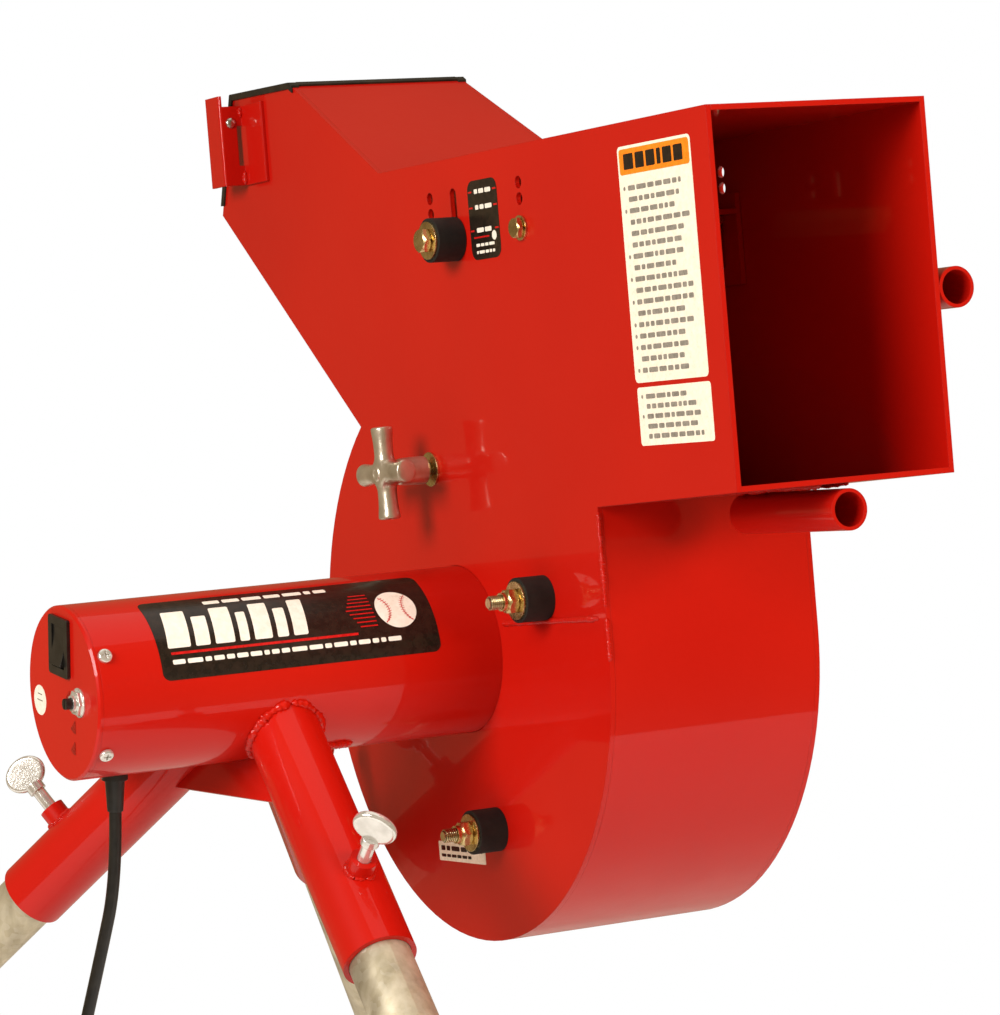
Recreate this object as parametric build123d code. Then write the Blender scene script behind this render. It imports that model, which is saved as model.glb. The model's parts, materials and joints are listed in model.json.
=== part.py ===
from build123d import *
import os
from math import sin, cos, tan, radians, degrees, atan2

# A baseball pitching machine on a tripod, in millimetres, +Z up, standing on z = 0.
# The head (drum, muzzle and feed hopper) is drawn in its own frame: origin on the wheel's axle
# at the middle of the head, +X along the axle away from the motor, -Y towards the muzzle.

# Places of the wheel's axle in the machine's frame and of the head's tilt
AXLE = (168.6, 188.3, 700.0)
HEAD_TILT = 9.74
TILT_DOWN = 19.5
TILT_UP = 35.0

# Head sheet metal
SHEET = 3.0
HEAD_WIDTH = 136.0
DRUM_R = 170.0
ROOF_Z = 282.0
MUZZLE_Y = -313.5
FLOOR_BACK_Z = 78.5
FLOOR_FRONT_Z = 82.5
HOPPER_FOOT_Y = 55.5
HOPPER_TOP_FRONT = (163.0, 347.0)
HOPPER_TOP_REAR = (247.0, 349.0)
HOPPER_LOW_REAR = (274.5, 276.0)
HOPPER_INSET = 16.0
RAMP_AIM = (108.8, 136.9)
TRIM_LIP = 1.3
TRIM_DEPTH = 2.6

# Feeder bracket on the near plate: a leg on the plate, a web standing out, a flange turned back
BRACKET_SHEET = 2.0
BRACKET_Y = 232.3
BRACKET_Z = 316.5
BRACKET_HEIGHT = 49.8
BRACKET_STAND = 16.8
BRACKET_LEG = 31.4
BRACKET_FLANGE = (19.4, 56.4)
BRACKET_SLOT = (3.6, 25.0)

# Accessory sockets, 7/8 inch tube
ACCESSORY_R = 11.1
ACCESSORY_WALL = 2.0
SIDE_ACCESSORY_Z = 180.3
SIDE_ACCESSORY_LENGTH = 120.0
LOWER_ACCESSORY_LENGTH = 100.0

# Tilt pivot: studs of the head in arc slots of the fixed flange
STUD_CIRCLE_R = 107.0
STUD_ANGLES = (80.0, 164.0, 256.0, 344.0)
STUD_R = 4.0
FLANGE_R = 126.0
FLANGE_THICKNESS = 5.0
RUBBER_R = 12.7
RUBBER_LENGTH = 17.5
WASHER_R = 10.8
WASHER_THICKNESS = 1.5
NUT_FLATS = 13.0
NUT_HEIGHT = 6.5
HEAD_HEIGHT = 5.3
KNOB_R = 25.4
KNOB_SHANK_R = 7.2
KNOB_LENGTH = 34.0
MOVING_GAP = 0.3

# Ball-size adjustment of the pressure pad
PAD_TRAVEL = 25.4
PAD_BOLT_Z = 235.7
PAD_HOLE_ROWS = (0.0, 16.2, 25.4)
PAD_COLUMNS = (-6.7, -111.9)
GUIDE_Y = -34.9
PAD_FACE_Z = 221.0
PAD_HEIGHT = 15.0
PAD_Y = -46.0
PAD_SIZE = (80.0, 160.0)
CARRIAGE_LENGTH = 168.0
CARRIAGE_DEPTH = 52.0
CARRIAGE_LIP = 9.0
BOLT_R = 3.1
BOLT_FLATS = 11.0
BOLT_HEAD = 4.2
PAD_WASHER_R = 7.0

# Wheel and motor
WHEEL_R = 150.0
TYRE_WIDTH = 88.0
RIM_R = 98.0
SHAFT_R = 8.0
HOUSING_R = 48.6
HOUSING_WALL = 3.0
HOUSING_END_X = -318.0
MOTOR_FRONT_X = -66.0
MOTOR_LENGTH = 178.0

# Controls on the end cap, places are (y, z) from the motor's axis
ROCKER_AT = (2.2, 26.1)
ROCKER_FRAME = (26.0, 33.0)
ROCKER_TILT = 8.0
DIAL_AT = (-22.2, -1.1)
CORD_EXIT_X = -288.0
CORD_R = 3.5

# Tripod: azimuths are from +X towards +Y, splays from the vertical
TRIPOD_X = -199.0
SOCKET_R = 20.65
LEG_R = 17.45
LEG_FIT = 0.15
SOCKET_END = 212.0
CLAMP_AT = 165.0
LEG_TOP = 92.0
FOOT_R = 24.0
FOOT_GRIP = 38.0
LEGS = {"front": (-94.0, 54.0), "left": (125.0, 46.0), "right": (49.0, 46.0)}


def polygon(points):
    return make_face(Polyline(*[(p[0], p[1]) for p in points], close=True))


def across(face, x, depth):
    """Extrude a (y, z) face along +X from x."""
    return extrude(Plane.YZ.offset(x) * face, depth)


def rod(x0, x1, radius, y=0.0, z=0.0):
    """Round bar along X."""
    return across(Pos(y, z) * Circle(radius), x0, x1 - x0)


def hexagon(x0, x1, flats, y=0.0, z=0.0):
    """Hexagonal bar along X."""
    outline = RegularPolygon(flats / 2, 6, major_radius=False)
    return across(Pos(y, z) * outline, x0, x1 - x0)


def hex_head(x0, x1, flats, y, z):
    """Hexagonal head or nut along X with its corners turned down at both ends."""
    corner = flats / 2 / cos(radians(30))
    turned_bar = rod(x0, x1, corner, y, z)
    turned_bar = chamfer(turned_bar.edges().filter_by(GeomType.CIRCLE), corner - 0.46 * flats)
    return hexagon(x0, x1, flats, y, z) & turned_bar


def stud(x0, x1, radius, y, z):
    """Round bar along X with its start rounded off."""
    bar_end = rod(x0, x1, radius, y, z).edges().filter_by(GeomType.CIRCLE).sort_by(Axis.X)[0]
    return chamfer(bar_end, 0.3 * radius)


def ring(x0, x1, outer, inner, y=0.0, z=0.0):
    return rod(x0, x1, outer, y, z) - rod(x0 - 1, x1 + 1, inner, y, z)


def on_base(shape):
    return Pos(*AXLE) * shape


def on_head(shape):
    return Pos(*AXLE) * (Rot(-HEAD_TILT, 0, 0) * shape)


def save(name, shape):
    if isinstance(shape, (list, tuple)):
        shape = Compound(children=list(shape))
    shape.label = name
    export_step(shape, f"parts/{name}.step")


# --- head sheet metal -----------------------------------------------------------------------------

def ramp_foot():
    """Where the feed ramp's line from the hopper's low rear corner meets the drum."""
    slope = atan2(RAMP_AIM[1] - HOPPER_LOW_REAR[1], RAMP_AIM[0] - HOPPER_LOW_REAR[0])
    along = (cos(slope), sin(slope))
    b = HOPPER_LOW_REAR[0] * along[0] + HOPPER_LOW_REAR[1] * along[1]
    c = HOPPER_LOW_REAR[0] ** 2 + HOPPER_LOW_REAR[1] ** 2 - DRUM_R ** 2
    reach = -b - (b * b - c) ** 0.5
    return (HOPPER_LOW_REAR[0] + reach * along[0], HOPPER_LOW_REAR[1] + reach * along[1])


def head_outline():
    top = Polyline(
        (-DRUM_R, 0),
        (-DRUM_R, FLOOR_BACK_Z),
        (MUZZLE_Y, FLOOR_FRONT_Z),
        (MUZZLE_Y, ROOF_Z),
        (HOPPER_FOOT_Y, ROOF_Z),
        HOPPER_TOP_FRONT,
        HOPPER_TOP_REAR,
        HOPPER_LOW_REAR,
        ramp_foot(),
    )
    drum = ThreePointArc(ramp_foot(), (0, -DRUM_R), (-DRUM_R, 0))
    return make_face(Curve() + [top, drum])


def wall_strip(y0, z0, y1, z1):
    """The part of the head's wall sheet that lies in a (y, z) window."""
    outline = head_outline()
    strip = outline - offset(outline, -SHEET, kind=Kind.INTERSECTION)
    window = Pos((y0 + y1) / 2, (z0 + z1) / 2) * Rectangle(y1 - y0, z1 - z0)
    inside = HEAD_WIDTH - 2 * SHEET
    return across(strip & window, -inside / 2, inside)


def hopper_plan():
    """Room between the near plate and the hopper's inset far side, seen from above."""
    near = -HEAD_WIDTH / 2 + SHEET
    far = HEAD_WIDTH / 2 - SHEET
    rear = HOPPER_LOW_REAR[0] + 10
    plan = polygon([
        (near, HOPPER_FOOT_Y - 10),
        (far, HOPPER_FOOT_Y - 10),
        (far, HOPPER_FOOT_Y),
        (far - HOPPER_INSET, HOPPER_TOP_FRONT[0]),
        (far - HOPPER_INSET, rear),
        (near, rear),
    ])
    return extrude(plan, 400)


def plate_cuts(x):
    """Ball-size holes and the guide slot that both side plates share."""
    cuts = []
    for y in PAD_COLUMNS:
        for row in PAD_HOLE_ROWS:
            cuts.append(rod(x - 1, x + SHEET + 1, BOLT_R + 0.4, y, PAD_BOLT_Z + row))
    slot = Rot(0, 0, 90) * SlotCenterToCenter(PAD_TRAVEL, 2 * BOLT_R + 1.0)
    slot = Pos(GUIDE_Y, PAD_BOLT_Z + PAD_TRAVEL / 2) * slot
    cuts.append(across(slot, x - 1, SHEET + 2))
    return cuts


def near_side_plate():
    x = -HEAD_WIDTH / 2
    plate = across(head_outline(), x, SHEET)
    plate -= rod(x - 1, x + SHEET + 1, HOUSING_R + 0.2)
    for y, z in stud_places():
        plate -= rod(x - 1, x + SHEET + 1, STUD_R, y, z)
    for cut in plate_cuts(x):
        plate -= cut
    return plate


def far_side_plate():
    x = HEAD_WIDTH / 2 - SHEET
    front = Pos((MUZZLE_Y + HOPPER_FOOT_Y) / 2, 0) * Rectangle(HOPPER_FOOT_Y - MUZZLE_Y, 700)
    plate = across((head_outline() & front) + Circle(DRUM_R), x, SHEET)
    for cut in plate_cuts(x):
        plate -= cut
    return plate


def drum_band():
    """Rolled band of the drum, its straight front and the muzzle's floor, one bent sheet."""
    foot = ramp_foot()
    drum = wall_strip(-DRUM_R, -DRUM_R - 1, DRUM_R + 1, foot[1])
    floor = wall_strip(MUZZLE_Y - 1, FLOOR_BACK_Z - 5, -DRUM_R, FLOOR_FRONT_Z + SHEET)
    return drum + floor


def muzzle_roof():
    return wall_strip(MUZZLE_Y - 1, ROOF_Z - SHEET - 0.01, HOPPER_FOOT_Y, ROOF_Z + 1)


def hopper_front_wall():
    wall = wall_strip(HOPPER_FOOT_Y, ROOF_Z - 10, HOPPER_TOP_FRONT[0], HOPPER_TOP_FRONT[1] + 2)
    return wall & hopper_plan()


def feed_ramp():
    foot = ramp_foot()
    ramp = wall_strip(foot[0] - 6, foot[1], HOPPER_LOW_REAR[0] + 1, HOPPER_LOW_REAR[1])
    return ramp & hopper_plan()


def hopper_far_side():
    """Far side of the hopper, bent inwards behind the wheel, down into the drum."""
    far = HEAD_WIDTH / 2
    foot = ramp_foot()
    outline = polygon([
        (HOPPER_FOOT_Y, ROOF_Z),
        HOPPER_TOP_FRONT,
        HOPPER_TOP_REAR,
        HOPPER_LOW_REAR,
        foot,
        (foot[0] - 12, foot[1] - 22),
        (HOPPER_FOOT_Y, foot[1] - 22),
    ])
    rear = HOPPER_LOW_REAR[0] + 1
    bend = HOPPER_TOP_FRONT[0]
    plan = polygon([
        (far - SHEET, HOPPER_FOOT_Y),
        (far, HOPPER_FOOT_Y),
        (far - HOPPER_INSET, bend),
        (far - HOPPER_INSET, rear),
        (far - HOPPER_INSET - SHEET, rear),
        (far - HOPPER_INSET - SHEET, bend),
    ])
    side = across(outline, 0, HEAD_WIDTH) & extrude(plan, 400)
    return side - drum_band() - far_side_plate()


def edge_trim():
    """Push-on rubber trim on the hopper's open edges."""
    outline = head_outline()
    lip = offset(outline, TRIM_LIP) - offset(outline, -TRIM_DEPTH, kind=Kind.INTERSECTION)
    window = polygon([
        (HOPPER_TOP_FRONT[0] - 4, HOPPER_TOP_FRONT[1] + 8),
        (HOPPER_TOP_FRONT[0] - 4, HOPPER_TOP_FRONT[1] - 7),
        (HOPPER_TOP_REAR[0] - 10, HOPPER_TOP_REAR[1] - 10),
        (HOPPER_LOW_REAR[0] - 14, HOPPER_LOW_REAR[1] + 6),
        (HOPPER_LOW_REAR[0] + 8, HOPPER_LOW_REAR[1] + 6),
        (HOPPER_TOP_REAR[0] + 12, HOPPER_TOP_REAR[1] + 8),
    ])
    strip = lip & window
    thick = SHEET + 2 * TRIM_LIP
    walls = hopper_front_wall() + feed_ramp()
    near = across(strip, -HEAD_WIDTH / 2 - TRIM_LIP, thick) - near_side_plate() - walls
    far_x = HEAD_WIDTH / 2 - HOPPER_INSET - SHEET - TRIM_LIP
    far = across(strip, far_x, thick) - hopper_far_side() - walls
    slope = degrees(atan2(HOPPER_TOP_FRONT[1] - ROOF_Z, HOPPER_TOP_FRONT[0] - HOPPER_FOOT_Y))
    front = Rectangle(TRIM_DEPTH + TRIM_LIP, thick)
    front = Pos(-TRIM_DEPTH / 2 + TRIM_LIP / 2 - 0.5, -SHEET / 2) * front
    front = Pos(*HOPPER_TOP_FRONT) * (Rot(0, 0, slope) * front)
    start = -HEAD_WIDTH / 2 + SHEET + TRIM_LIP
    front = across(front, start, far_x - start) - hopper_front_wall()
    return [near, front, far]


def feeder_bracket():
    """Angle bracket that a ball feeder hooks on."""
    x = -HEAD_WIDTH / 2
    half = BRACKET_SHEET / 2
    front_y = BRACKET_Y - half
    web = Pos(x - BRACKET_STAND / 2, BRACKET_Y, BRACKET_Z)
    web = web * Box(BRACKET_STAND, BRACKET_SHEET, BRACKET_HEIGHT)
    flange = Pos(x - BRACKET_STAND + half, front_y + BRACKET_FLANGE[0] / 2, BRACKET_Z + 3.3)
    flange = flange * Box(BRACKET_SHEET, *BRACKET_FLANGE)
    leg = Pos(x - half, BRACKET_Y + half - BRACKET_LEG / 2, BRACKET_Z)
    leg = leg * Box(BRACKET_SHEET, BRACKET_LEG, BRACKET_HEIGHT)
    slot = Pos(x - BRACKET_SHEET - BRACKET_SLOT[0] / 2, BRACKET_Y, BRACKET_Z)
    slot = slot * Box(BRACKET_SLOT[0], 2 * BRACKET_SHEET, BRACKET_SLOT[1])
    bracket = web + flange + leg - slot
    bend = (x - BRACKET_STAND, front_y, BRACKET_Z)
    bends = bracket.edges().filter_by(Axis.Z).sort_by_distance(bend)
    return fillet(bends[0], 1.8)


def accessory_tube(x, z, length):
    tube = Cylinder(ACCESSORY_R, length) - Cylinder(ACCESSORY_R - ACCESSORY_WALL, length + 2)
    return Pos(x, MUZZLE_Y + length / 2, z) * (Rot(90, 0, 0) * tube)


# --- tilt pivot -----------------------------------------------------------------------------------

def stud_places():
    return [(STUD_CIRCLE_R * cos(radians(a)), STUD_CIRCLE_R * sin(radians(a))) for a in STUD_ANGLES]


def pivot_flange():
    x = -HEAD_WIDTH / 2 + SHEET + MOVING_GAP
    flange = ring(x, x + FLANGE_THICKNESS, FLANGE_R, HOUSING_R)
    for angle in STUD_ANGLES:
        first = angle - HEAD_TILT - TILT_UP - 0.5
        sweep = TILT_UP + TILT_DOWN + 1.0
        arc = CenterArc((0, 0), STUD_CIRCLE_R, first, sweep)
        slot = across(SlotArc(arc, 2 * STUD_R + 1.0), x - 1, FLANGE_THICKNESS + 2)
        flange -= slot
    return flange


def pivot_studs():
    inner = -HEAD_WIDTH / 2 + SHEET + FLANGE_THICKNESS + 2 * MOVING_GAP
    outer = -HEAD_WIDTH / 2 - RUBBER_LENGTH - WASHER_THICKNESS - 17
    studs = []
    for number, (y, z) in enumerate(stud_places()):
        end = -HEAD_WIDTH / 2 - 20 if number == 0 else outer
        shank = stud(end, inner, STUD_R, y, z)
        studs.append(shank + hex_head(inner, inner + HEAD_HEIGHT, NUT_FLATS, y, z))
    return studs


def pivot_rubbers():
    x = -HEAD_WIDTH / 2
    return [ring(x - RUBBER_LENGTH, x, RUBBER_R, STUD_R, y, z) for y, z in stud_places()[1:]]


def plate_washers():
    """Plain washers of the tilt studs and of the pad's bolts."""
    x = -HEAD_WIDTH / 2
    y, z = stud_places()[0]
    washers = [ring(x - WASHER_THICKNESS, x, 10.0, STUD_R, y, z)]
    top = x - RUBBER_LENGTH
    for y, z in stud_places()[1:]:
        washers.append(ring(top - WASHER_THICKNESS, top, WASHER_R, STUD_R, y, z))
    for y in PAD_COLUMNS:
        washers.append(ring(x - WASHER_THICKNESS, x, PAD_WASHER_R, BOLT_R, y, PAD_BOLT_Z))
        washers.append(ring(-x, -x + WASHER_THICKNESS, PAD_WASHER_R, BOLT_R, y, PAD_BOLT_Z))
    return washers


def pivot_nuts():
    top = -HEAD_WIDTH / 2 - RUBBER_LENGTH - WASHER_THICKNESS
    nuts = []
    for y, z in stud_places()[1:]:
        nut = hex_head(top - NUT_HEIGHT, top, NUT_FLATS, y, z)
        nut += ring(top - NUT_HEIGHT - 2.5, top - NUT_HEIGHT, 5.2, STUD_R, y, z)
        nuts.append(nut - rod(top - 20, top + 1, STUD_R, y, z))
    return nuts


def pitch_knob():
    """Cast four-prong knob with a blind thread for the first stud."""
    x = -HEAD_WIDTH / 2 - WASHER_THICKNESS - MOVING_GAP
    y, z = stud_places()[0]
    knob = rod(x - KNOB_LENGTH + 8, x, KNOB_SHANK_R, y, z)
    hub = Pos(x - KNOB_LENGTH + 8, y, z) * Sphere(9.0)
    prongs = None
    for quarter in range(4):
        arm = Pos(KNOB_R / 2 - 3, 0) * SlotOverall(KNOB_R + 1, 9.0)
        arm = extrude(arm, 4.5, both=True)
        arm = fillet(arm.edges().filter_by(GeomType.LINE), 2.6)
        arm = Rot(0, 0, 20 + 90 * quarter) * arm
        prongs = arm if prongs is None else prongs + arm
    prongs = Rot(0, 90, 0) * prongs
    knob += hub
    knob += Pos(x - KNOB_LENGTH + 5.5, y, z) * prongs
    reach = x + WASHER_THICKNESS + MOVING_GAP - 21
    return knob - rod(reach, x + 1, STUD_R + 0.1, y, z)


# --- pressure pad ---------------------------------------------------------------------------------

def pad_carriage():
    """Channel that holds the pad, slotted for the bolts that set the ball size."""
    half = HEAD_WIDTH / 2 - SHEET - MOVING_GAP
    base_z = PAD_FACE_Z + PAD_HEIGHT
    flange_z = base_z + SHEET + CARRIAGE_LIP - CARRIAGE_DEPTH / 2
    carriage = Pos(0, PAD_Y, base_z + SHEET / 2) * Box(2 * half, CARRIAGE_LENGTH, SHEET)
    for side in (-1, 1):
        flange = Pos(side * (half - SHEET / 2), PAD_Y, flange_z)
        flange = flange * Box(SHEET, CARRIAGE_LENGTH, CARRIAGE_DEPTH)
        carriage += flange
    slot = Rot(0, 0, 90) * SlotCenterToCenter(PAD_TRAVEL + 1, 2 * BOLT_R + 1.0)
    for y in PAD_COLUMNS:
        place = Pos(y, PAD_BOLT_Z - PAD_TRAVEL / 2)
        carriage -= across(place * slot, -HEAD_WIDTH / 2, HEAD_WIDTH)
    for y in (GUIDE_Y, *PAD_COLUMNS):
        for side in (-1, 1):
            notch = Box(13, 19, 20)
            carriage -= Pos(side * (half - SHEET - 6.5), y, PAD_BOLT_Z) * notch
    carriage -= rod(-HEAD_WIDTH / 2, HEAD_WIDTH / 2, BOLT_R, GUIDE_Y, PAD_BOLT_Z)
    return carriage


def pressure_pad():
    pad = Pos(0, PAD_Y, PAD_FACE_Z + PAD_HEIGHT / 2) * Box(*PAD_SIZE, PAD_HEIGHT)
    leads = pad.edges().filter_by(Axis.X).group_by(Axis.Z)[0]
    pad = chamfer(leads, 8)
    return pad - rod(-60, 60, BOLT_R + 2, GUIDE_Y, PAD_BOLT_Z)


def pad_bolts():
    """Bolt and nut through each side plate and the carriage's slot."""
    bolts = []
    under_head = HEAD_WIDTH / 2 + WASHER_THICKNESS
    inner = HEAD_WIDTH / 2 - 2 * SHEET - 2 * MOVING_GAP
    for y in PAD_COLUMNS:
        for side in (-1, 1):
            bolt = rod(inner - 6.0, under_head, BOLT_R, y, PAD_BOLT_Z)
            bolt += hex_head(under_head, under_head + BOLT_HEAD, BOLT_FLATS, y, PAD_BOLT_Z)
            nut = hex_head(inner - 5.0, inner, BOLT_FLATS, y, PAD_BOLT_Z)
            both = bolt + nut
            bolts.append(both if side == 1 else mirror(both, Plane.YZ))
    return bolts


def guide_pieces():
    """Bolts, rubbers and washers that guide the carriage in the plates' vertical slots."""
    bolts = []
    rubbers = []
    washers = []
    start = HEAD_WIDTH / 2 + MOVING_GAP
    top = start + RUBBER_LENGTH
    inner = HEAD_WIDTH / 2 - 2 * SHEET - MOVING_GAP
    for side in (-1, 1):
        rubber = ring(start, top, RUBBER_R, BOLT_R, GUIDE_Y, PAD_BOLT_Z)
        washer = ring(top, top + WASHER_THICKNESS, WASHER_R, BOLT_R, GUIDE_Y, PAD_BOLT_Z)
        under_head = top + WASHER_THICKNESS
        bolt = rod(inner - 7.0, under_head, BOLT_R, GUIDE_Y, PAD_BOLT_Z)
        bolt += hex_head(under_head, under_head + HEAD_HEIGHT, NUT_FLATS, GUIDE_Y, PAD_BOLT_Z)
        bolt += hex_head(inner - 5.5, inner, BOLT_FLATS, GUIDE_Y, PAD_BOLT_Z)
        group = [bolt, rubber, washer]
        if side == -1:
            group = [mirror(piece, Plane.YZ) for piece in group]
        bolts.append(group[0])
        rubbers.append(group[1])
        washers.append(group[2])
    return bolts, rubbers, washers


# --- wheel and motor ------------------------------------------------------------------------------

def turned(points):
    """Solid of revolution about the axle; points are (x, radius)."""
    return revolve(polygon(points), Axis.X)


def tyre():
    half = TYRE_WIDTH / 2
    profile = polygon([
        (-half + 6, RIM_R + 0.0),
        (-half, RIM_R + 14),
        (-half, WHEEL_R - 8),
        (-half + 8, WHEEL_R),
        (half - 8, WHEEL_R),
        (half, WHEEL_R - 8),
        (half, RIM_R + 14),
        (half - 6, RIM_R),
    ])
    corners = profile.vertices().sort_by(Axis.Y)[2:]
    return revolve(fillet(corners, 5), Axis.X)


def wheel_rim():
    half = TYRE_WIDTH / 2 - 6
    rim = turned([
        (-half, RIM_R), (half, RIM_R), (half, RIM_R - 4), (4, RIM_R - 6),
        (4, 24), (-4, 24), (-4, RIM_R - 6), (-half, RIM_R - 4),
    ])
    for number in range(6):
        angle = radians(60 * number)
        rim -= rod(-6, 6, 12.0, 62 * cos(angle), 62 * sin(angle))
    return rim


def wheel_hub():
    hub = turned([(-20, SHAFT_R), (24, SHAFT_R), (24, 20), (4, 24), (-4, 24), (-20, 20)])
    return hub


def motor_shaft():
    return rod(MOTOR_FRONT_X - MOTOR_LENGTH + 3, 24, SHAFT_R) + rod(24, 30, 12)


def armature():
    front = MOTOR_FRONT_X - 34
    core = ring(front - 96, front, 30, SHAFT_R)
    for number in range(12):
        angle = radians(30 * number)
        core -= rod(front - 97, front + 1, 2.6, 28.5 * cos(angle), 28.5 * sin(angle))
    commutator = ring(front - 122, front - 96, 16, SHAFT_R)
    return core + commutator


def motor_can():
    inside = HOUSING_R - HOUSING_WALL
    return ring(MOTOR_FRONT_X - MOTOR_LENGTH + 10, MOTOR_FRONT_X - 10, inside, inside - 2.6)


def motor_magnets():
    outer = HOUSING_R - HOUSING_WALL - 2.6
    front = MOTOR_FRONT_X - 30
    shell = ring(front - 104, front, outer, outer - 8)
    gap = Pos(front - 52, 0, 0) * Box(120, 26, 2 * outer + 2)
    return [piece for piece in (shell - gap).solids()]


def end_bell(x0, x1, face_x):
    """Motor end bell with the bearing's pocket; face_x is the side that the bearing sits on."""
    inside = HOUSING_R - HOUSING_WALL
    bell = ring(x0, x1, inside, SHAFT_R + 1.5)
    pocket = rod(min(face_x, face_x + 7), max(face_x, face_x + 7), 16)
    return bell - pocket


def motor_bearings():
    rear = MOTOR_FRONT_X - MOTOR_LENGTH
    front = ring(MOTOR_FRONT_X - 10, MOTOR_FRONT_X - 3, 16, SHAFT_R)
    back = ring(rear + 3, rear + 10, 16, SHAFT_R)
    return [front, back]


def housing_tube():
    cap_seat = HOUSING_END_X + 3
    tube = ring(cap_seat, -HEAD_WIDTH / 2 + SHEET + MOVING_GAP + FLANGE_THICKNESS,
                HOUSING_R, HOUSING_R - HOUSING_WALL)
    tube -= Pos(CORD_EXIT_X, 0, -HOUSING_R) * Cylinder(6.0, 20)
    for screw in cap_screw_places():
        tube -= screw * Cylinder(2.5, 12)
    return tube


def cap_screw_places():
    """Four screws through the tube's wall into the end cap's skirt."""
    places = []
    for angle in (34.0, 146.0, 214.0, 326.0):
        turn = Rot(angle - 90, 0, 0)
        places.append(turn * Pos(HOUSING_END_X + 7.5, 0, HOUSING_R - 1))
    return places


def end_cap():
    inside = HOUSING_R - HOUSING_WALL
    cap = turned([
        (HOUSING_END_X, 0), (HOUSING_END_X, HOUSING_R - 1.2), (HOUSING_END_X + 1.2, HOUSING_R),
        (HOUSING_END_X + 3, HOUSING_R), (HOUSING_END_X + 3, inside - 0.1),
        (HOUSING_END_X + 14, inside - 0.1), (HOUSING_END_X + 14, inside - 2.1),
        (HOUSING_END_X + 3, inside - 2.1), (HOUSING_END_X + 3, 0),
    ])
    cap -= Pos(HOUSING_END_X, ROCKER_AT[0], ROCKER_AT[1]) * Box(20, 21, 28)
    cap -= rod(HOUSING_END_X - 5, HOUSING_END_X + 5, 4.6, *DIAL_AT)
    for screw in cap_screw_places():
        cap -= screw * Cylinder(1.9, 14)
    return cap


def end_cap_screws():
    """Pan-head screws; the cross recess is cut into the head."""
    screws = []
    head = Pos(0, 0, 1.0) * Cylinder(4.0, 2.4, align=(Align.CENTER, Align.CENTER, Align.MIN))
    head = fillet(head.edges().group_by(Axis.Z)[-1], 1.2)
    recess = Pos(0, 0, 3.0) * (Box(4.2, 0.9, 1.6) + Box(0.9, 4.2, 1.6))
    shank = Pos(0, 0, -7) * Cylinder(1.9, 8, align=(Align.CENTER, Align.CENTER, Align.MIN))
    for place in cap_screw_places():
        screws.append(place * (head + shank - recess))
    return screws


def switch_bezel():
    """Snap-in frame and body of the power switch, hollow for the rocker."""
    y, z = ROCKER_AT
    frame = Pos(HOUSING_END_X - 1.0, y, z) * Box(2, *ROCKER_FRAME)
    frame = fillet(frame.edges().filter_by(Axis.X), 2.0)
    body = Pos(HOUSING_END_X + 10, y, z) * Box(20, 20.6, 27.6)
    room = Pos(HOUSING_END_X + 2, y, z) * Box(16, 16.6, 23.6)
    return frame + body - room


def rocker_button():
    """Rocker paddle, drawn level and laid over to its off position."""
    y, z = ROCKER_AT
    paddle = Pos(-2.2, 0, 0) * Box(5.0, 15.6, 22.0)
    saddle = Pos(-50.0 - 3.6, 0, 0) * (Rot(90, 0, 0) * Cylinder(50, 20))
    paddle -= saddle
    paddle = fillet(paddle.edges().filter_by(Axis.Y).group_by(Axis.X)[-1], 1.5)
    pivot = Rot(90, 0, 0) * Cylinder(2.4, 15.6)
    return Pos(HOUSING_END_X + 2, y, z) * (Rot(0, ROCKER_TILT, 0) * (paddle + pivot))


def speed_control():
    """Threaded bushing and nut on the cap with the control's body inside."""
    y, z = DIAL_AT
    body = ring(HOUSING_END_X + 4, HOUSING_END_X + 15, 11, 3.3, y, z)
    bushing = ring(HOUSING_END_X - 5, HOUSING_END_X + 4, 4.5, 3.3, y, z)
    nut = hexagon(HOUSING_END_X - 3, HOUSING_END_X, 12.7, y, z)
    nut = nut + ring(HOUSING_END_X - 0.8, HOUSING_END_X, 8.2, 4.5, y, z)
    return bushing + body + nut - rod(HOUSING_END_X - 9, HOUSING_END_X + 14, 3.3, y, z)


def speed_dial():
    y, z = DIAL_AT
    dial = rod(HOUSING_END_X - 9, HOUSING_END_X + 13, 3.1, y, z)
    return dial - Pos(HOUSING_END_X - 9, y, z) * Box(3, 1.2, 8)


def control_board():
    """Speed control's circuit board with its heat sink and capacitors."""
    x = HOUSING_END_X + 42
    board = Pos(x, 0, -20) * Box(44, 62, 1.6)
    sink = Pos(x - 6, 14, -10) * Box(24, 20, 18)
    for fin in range(4):
        sink -= Pos(x - 6, 7.5 + 4.4 * fin, -7) * Box(26, 2.2, 16)
    parts = [board, sink]
    for place in ((x + 8, -12), (x - 10, -12)):
        parts.append(Pos(place[0], place[1], -9.2) * Cylinder(7, 20))
    return parts


def strain_relief():
    """Bushing with a flat head and a short tapered neck round the cord."""
    top = -HOUSING_R
    upper = (Align.CENTER, Align.CENTER, Align.MAX)
    head = Pos(CORD_EXIT_X, 0, top + 1.2) * Cylinder(7.4, 4.6, align=upper)
    neck_place = Pos(CORD_EXIT_X, 0, top - 3.4)
    neck = neck_place * Cone(CORD_R + 1.0, 5.6, 18.0, align=upper)
    lower = (Align.CENTER, Align.CENTER, Align.MIN)
    grip = Pos(CORD_EXIT_X, 0, top - 2) * Cylinder(5.8, 11, align=lower)
    relief = head + neck + grip
    relief -= rod(CORD_EXIT_X - 20, CORD_EXIT_X + 20, HOUSING_R)
    return relief + (grip & rod(CORD_EXIT_X - 20, CORD_EXIT_X + 20, HOUSING_R))


# --- tripod ---------------------------------------------------------------------------------------

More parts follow.
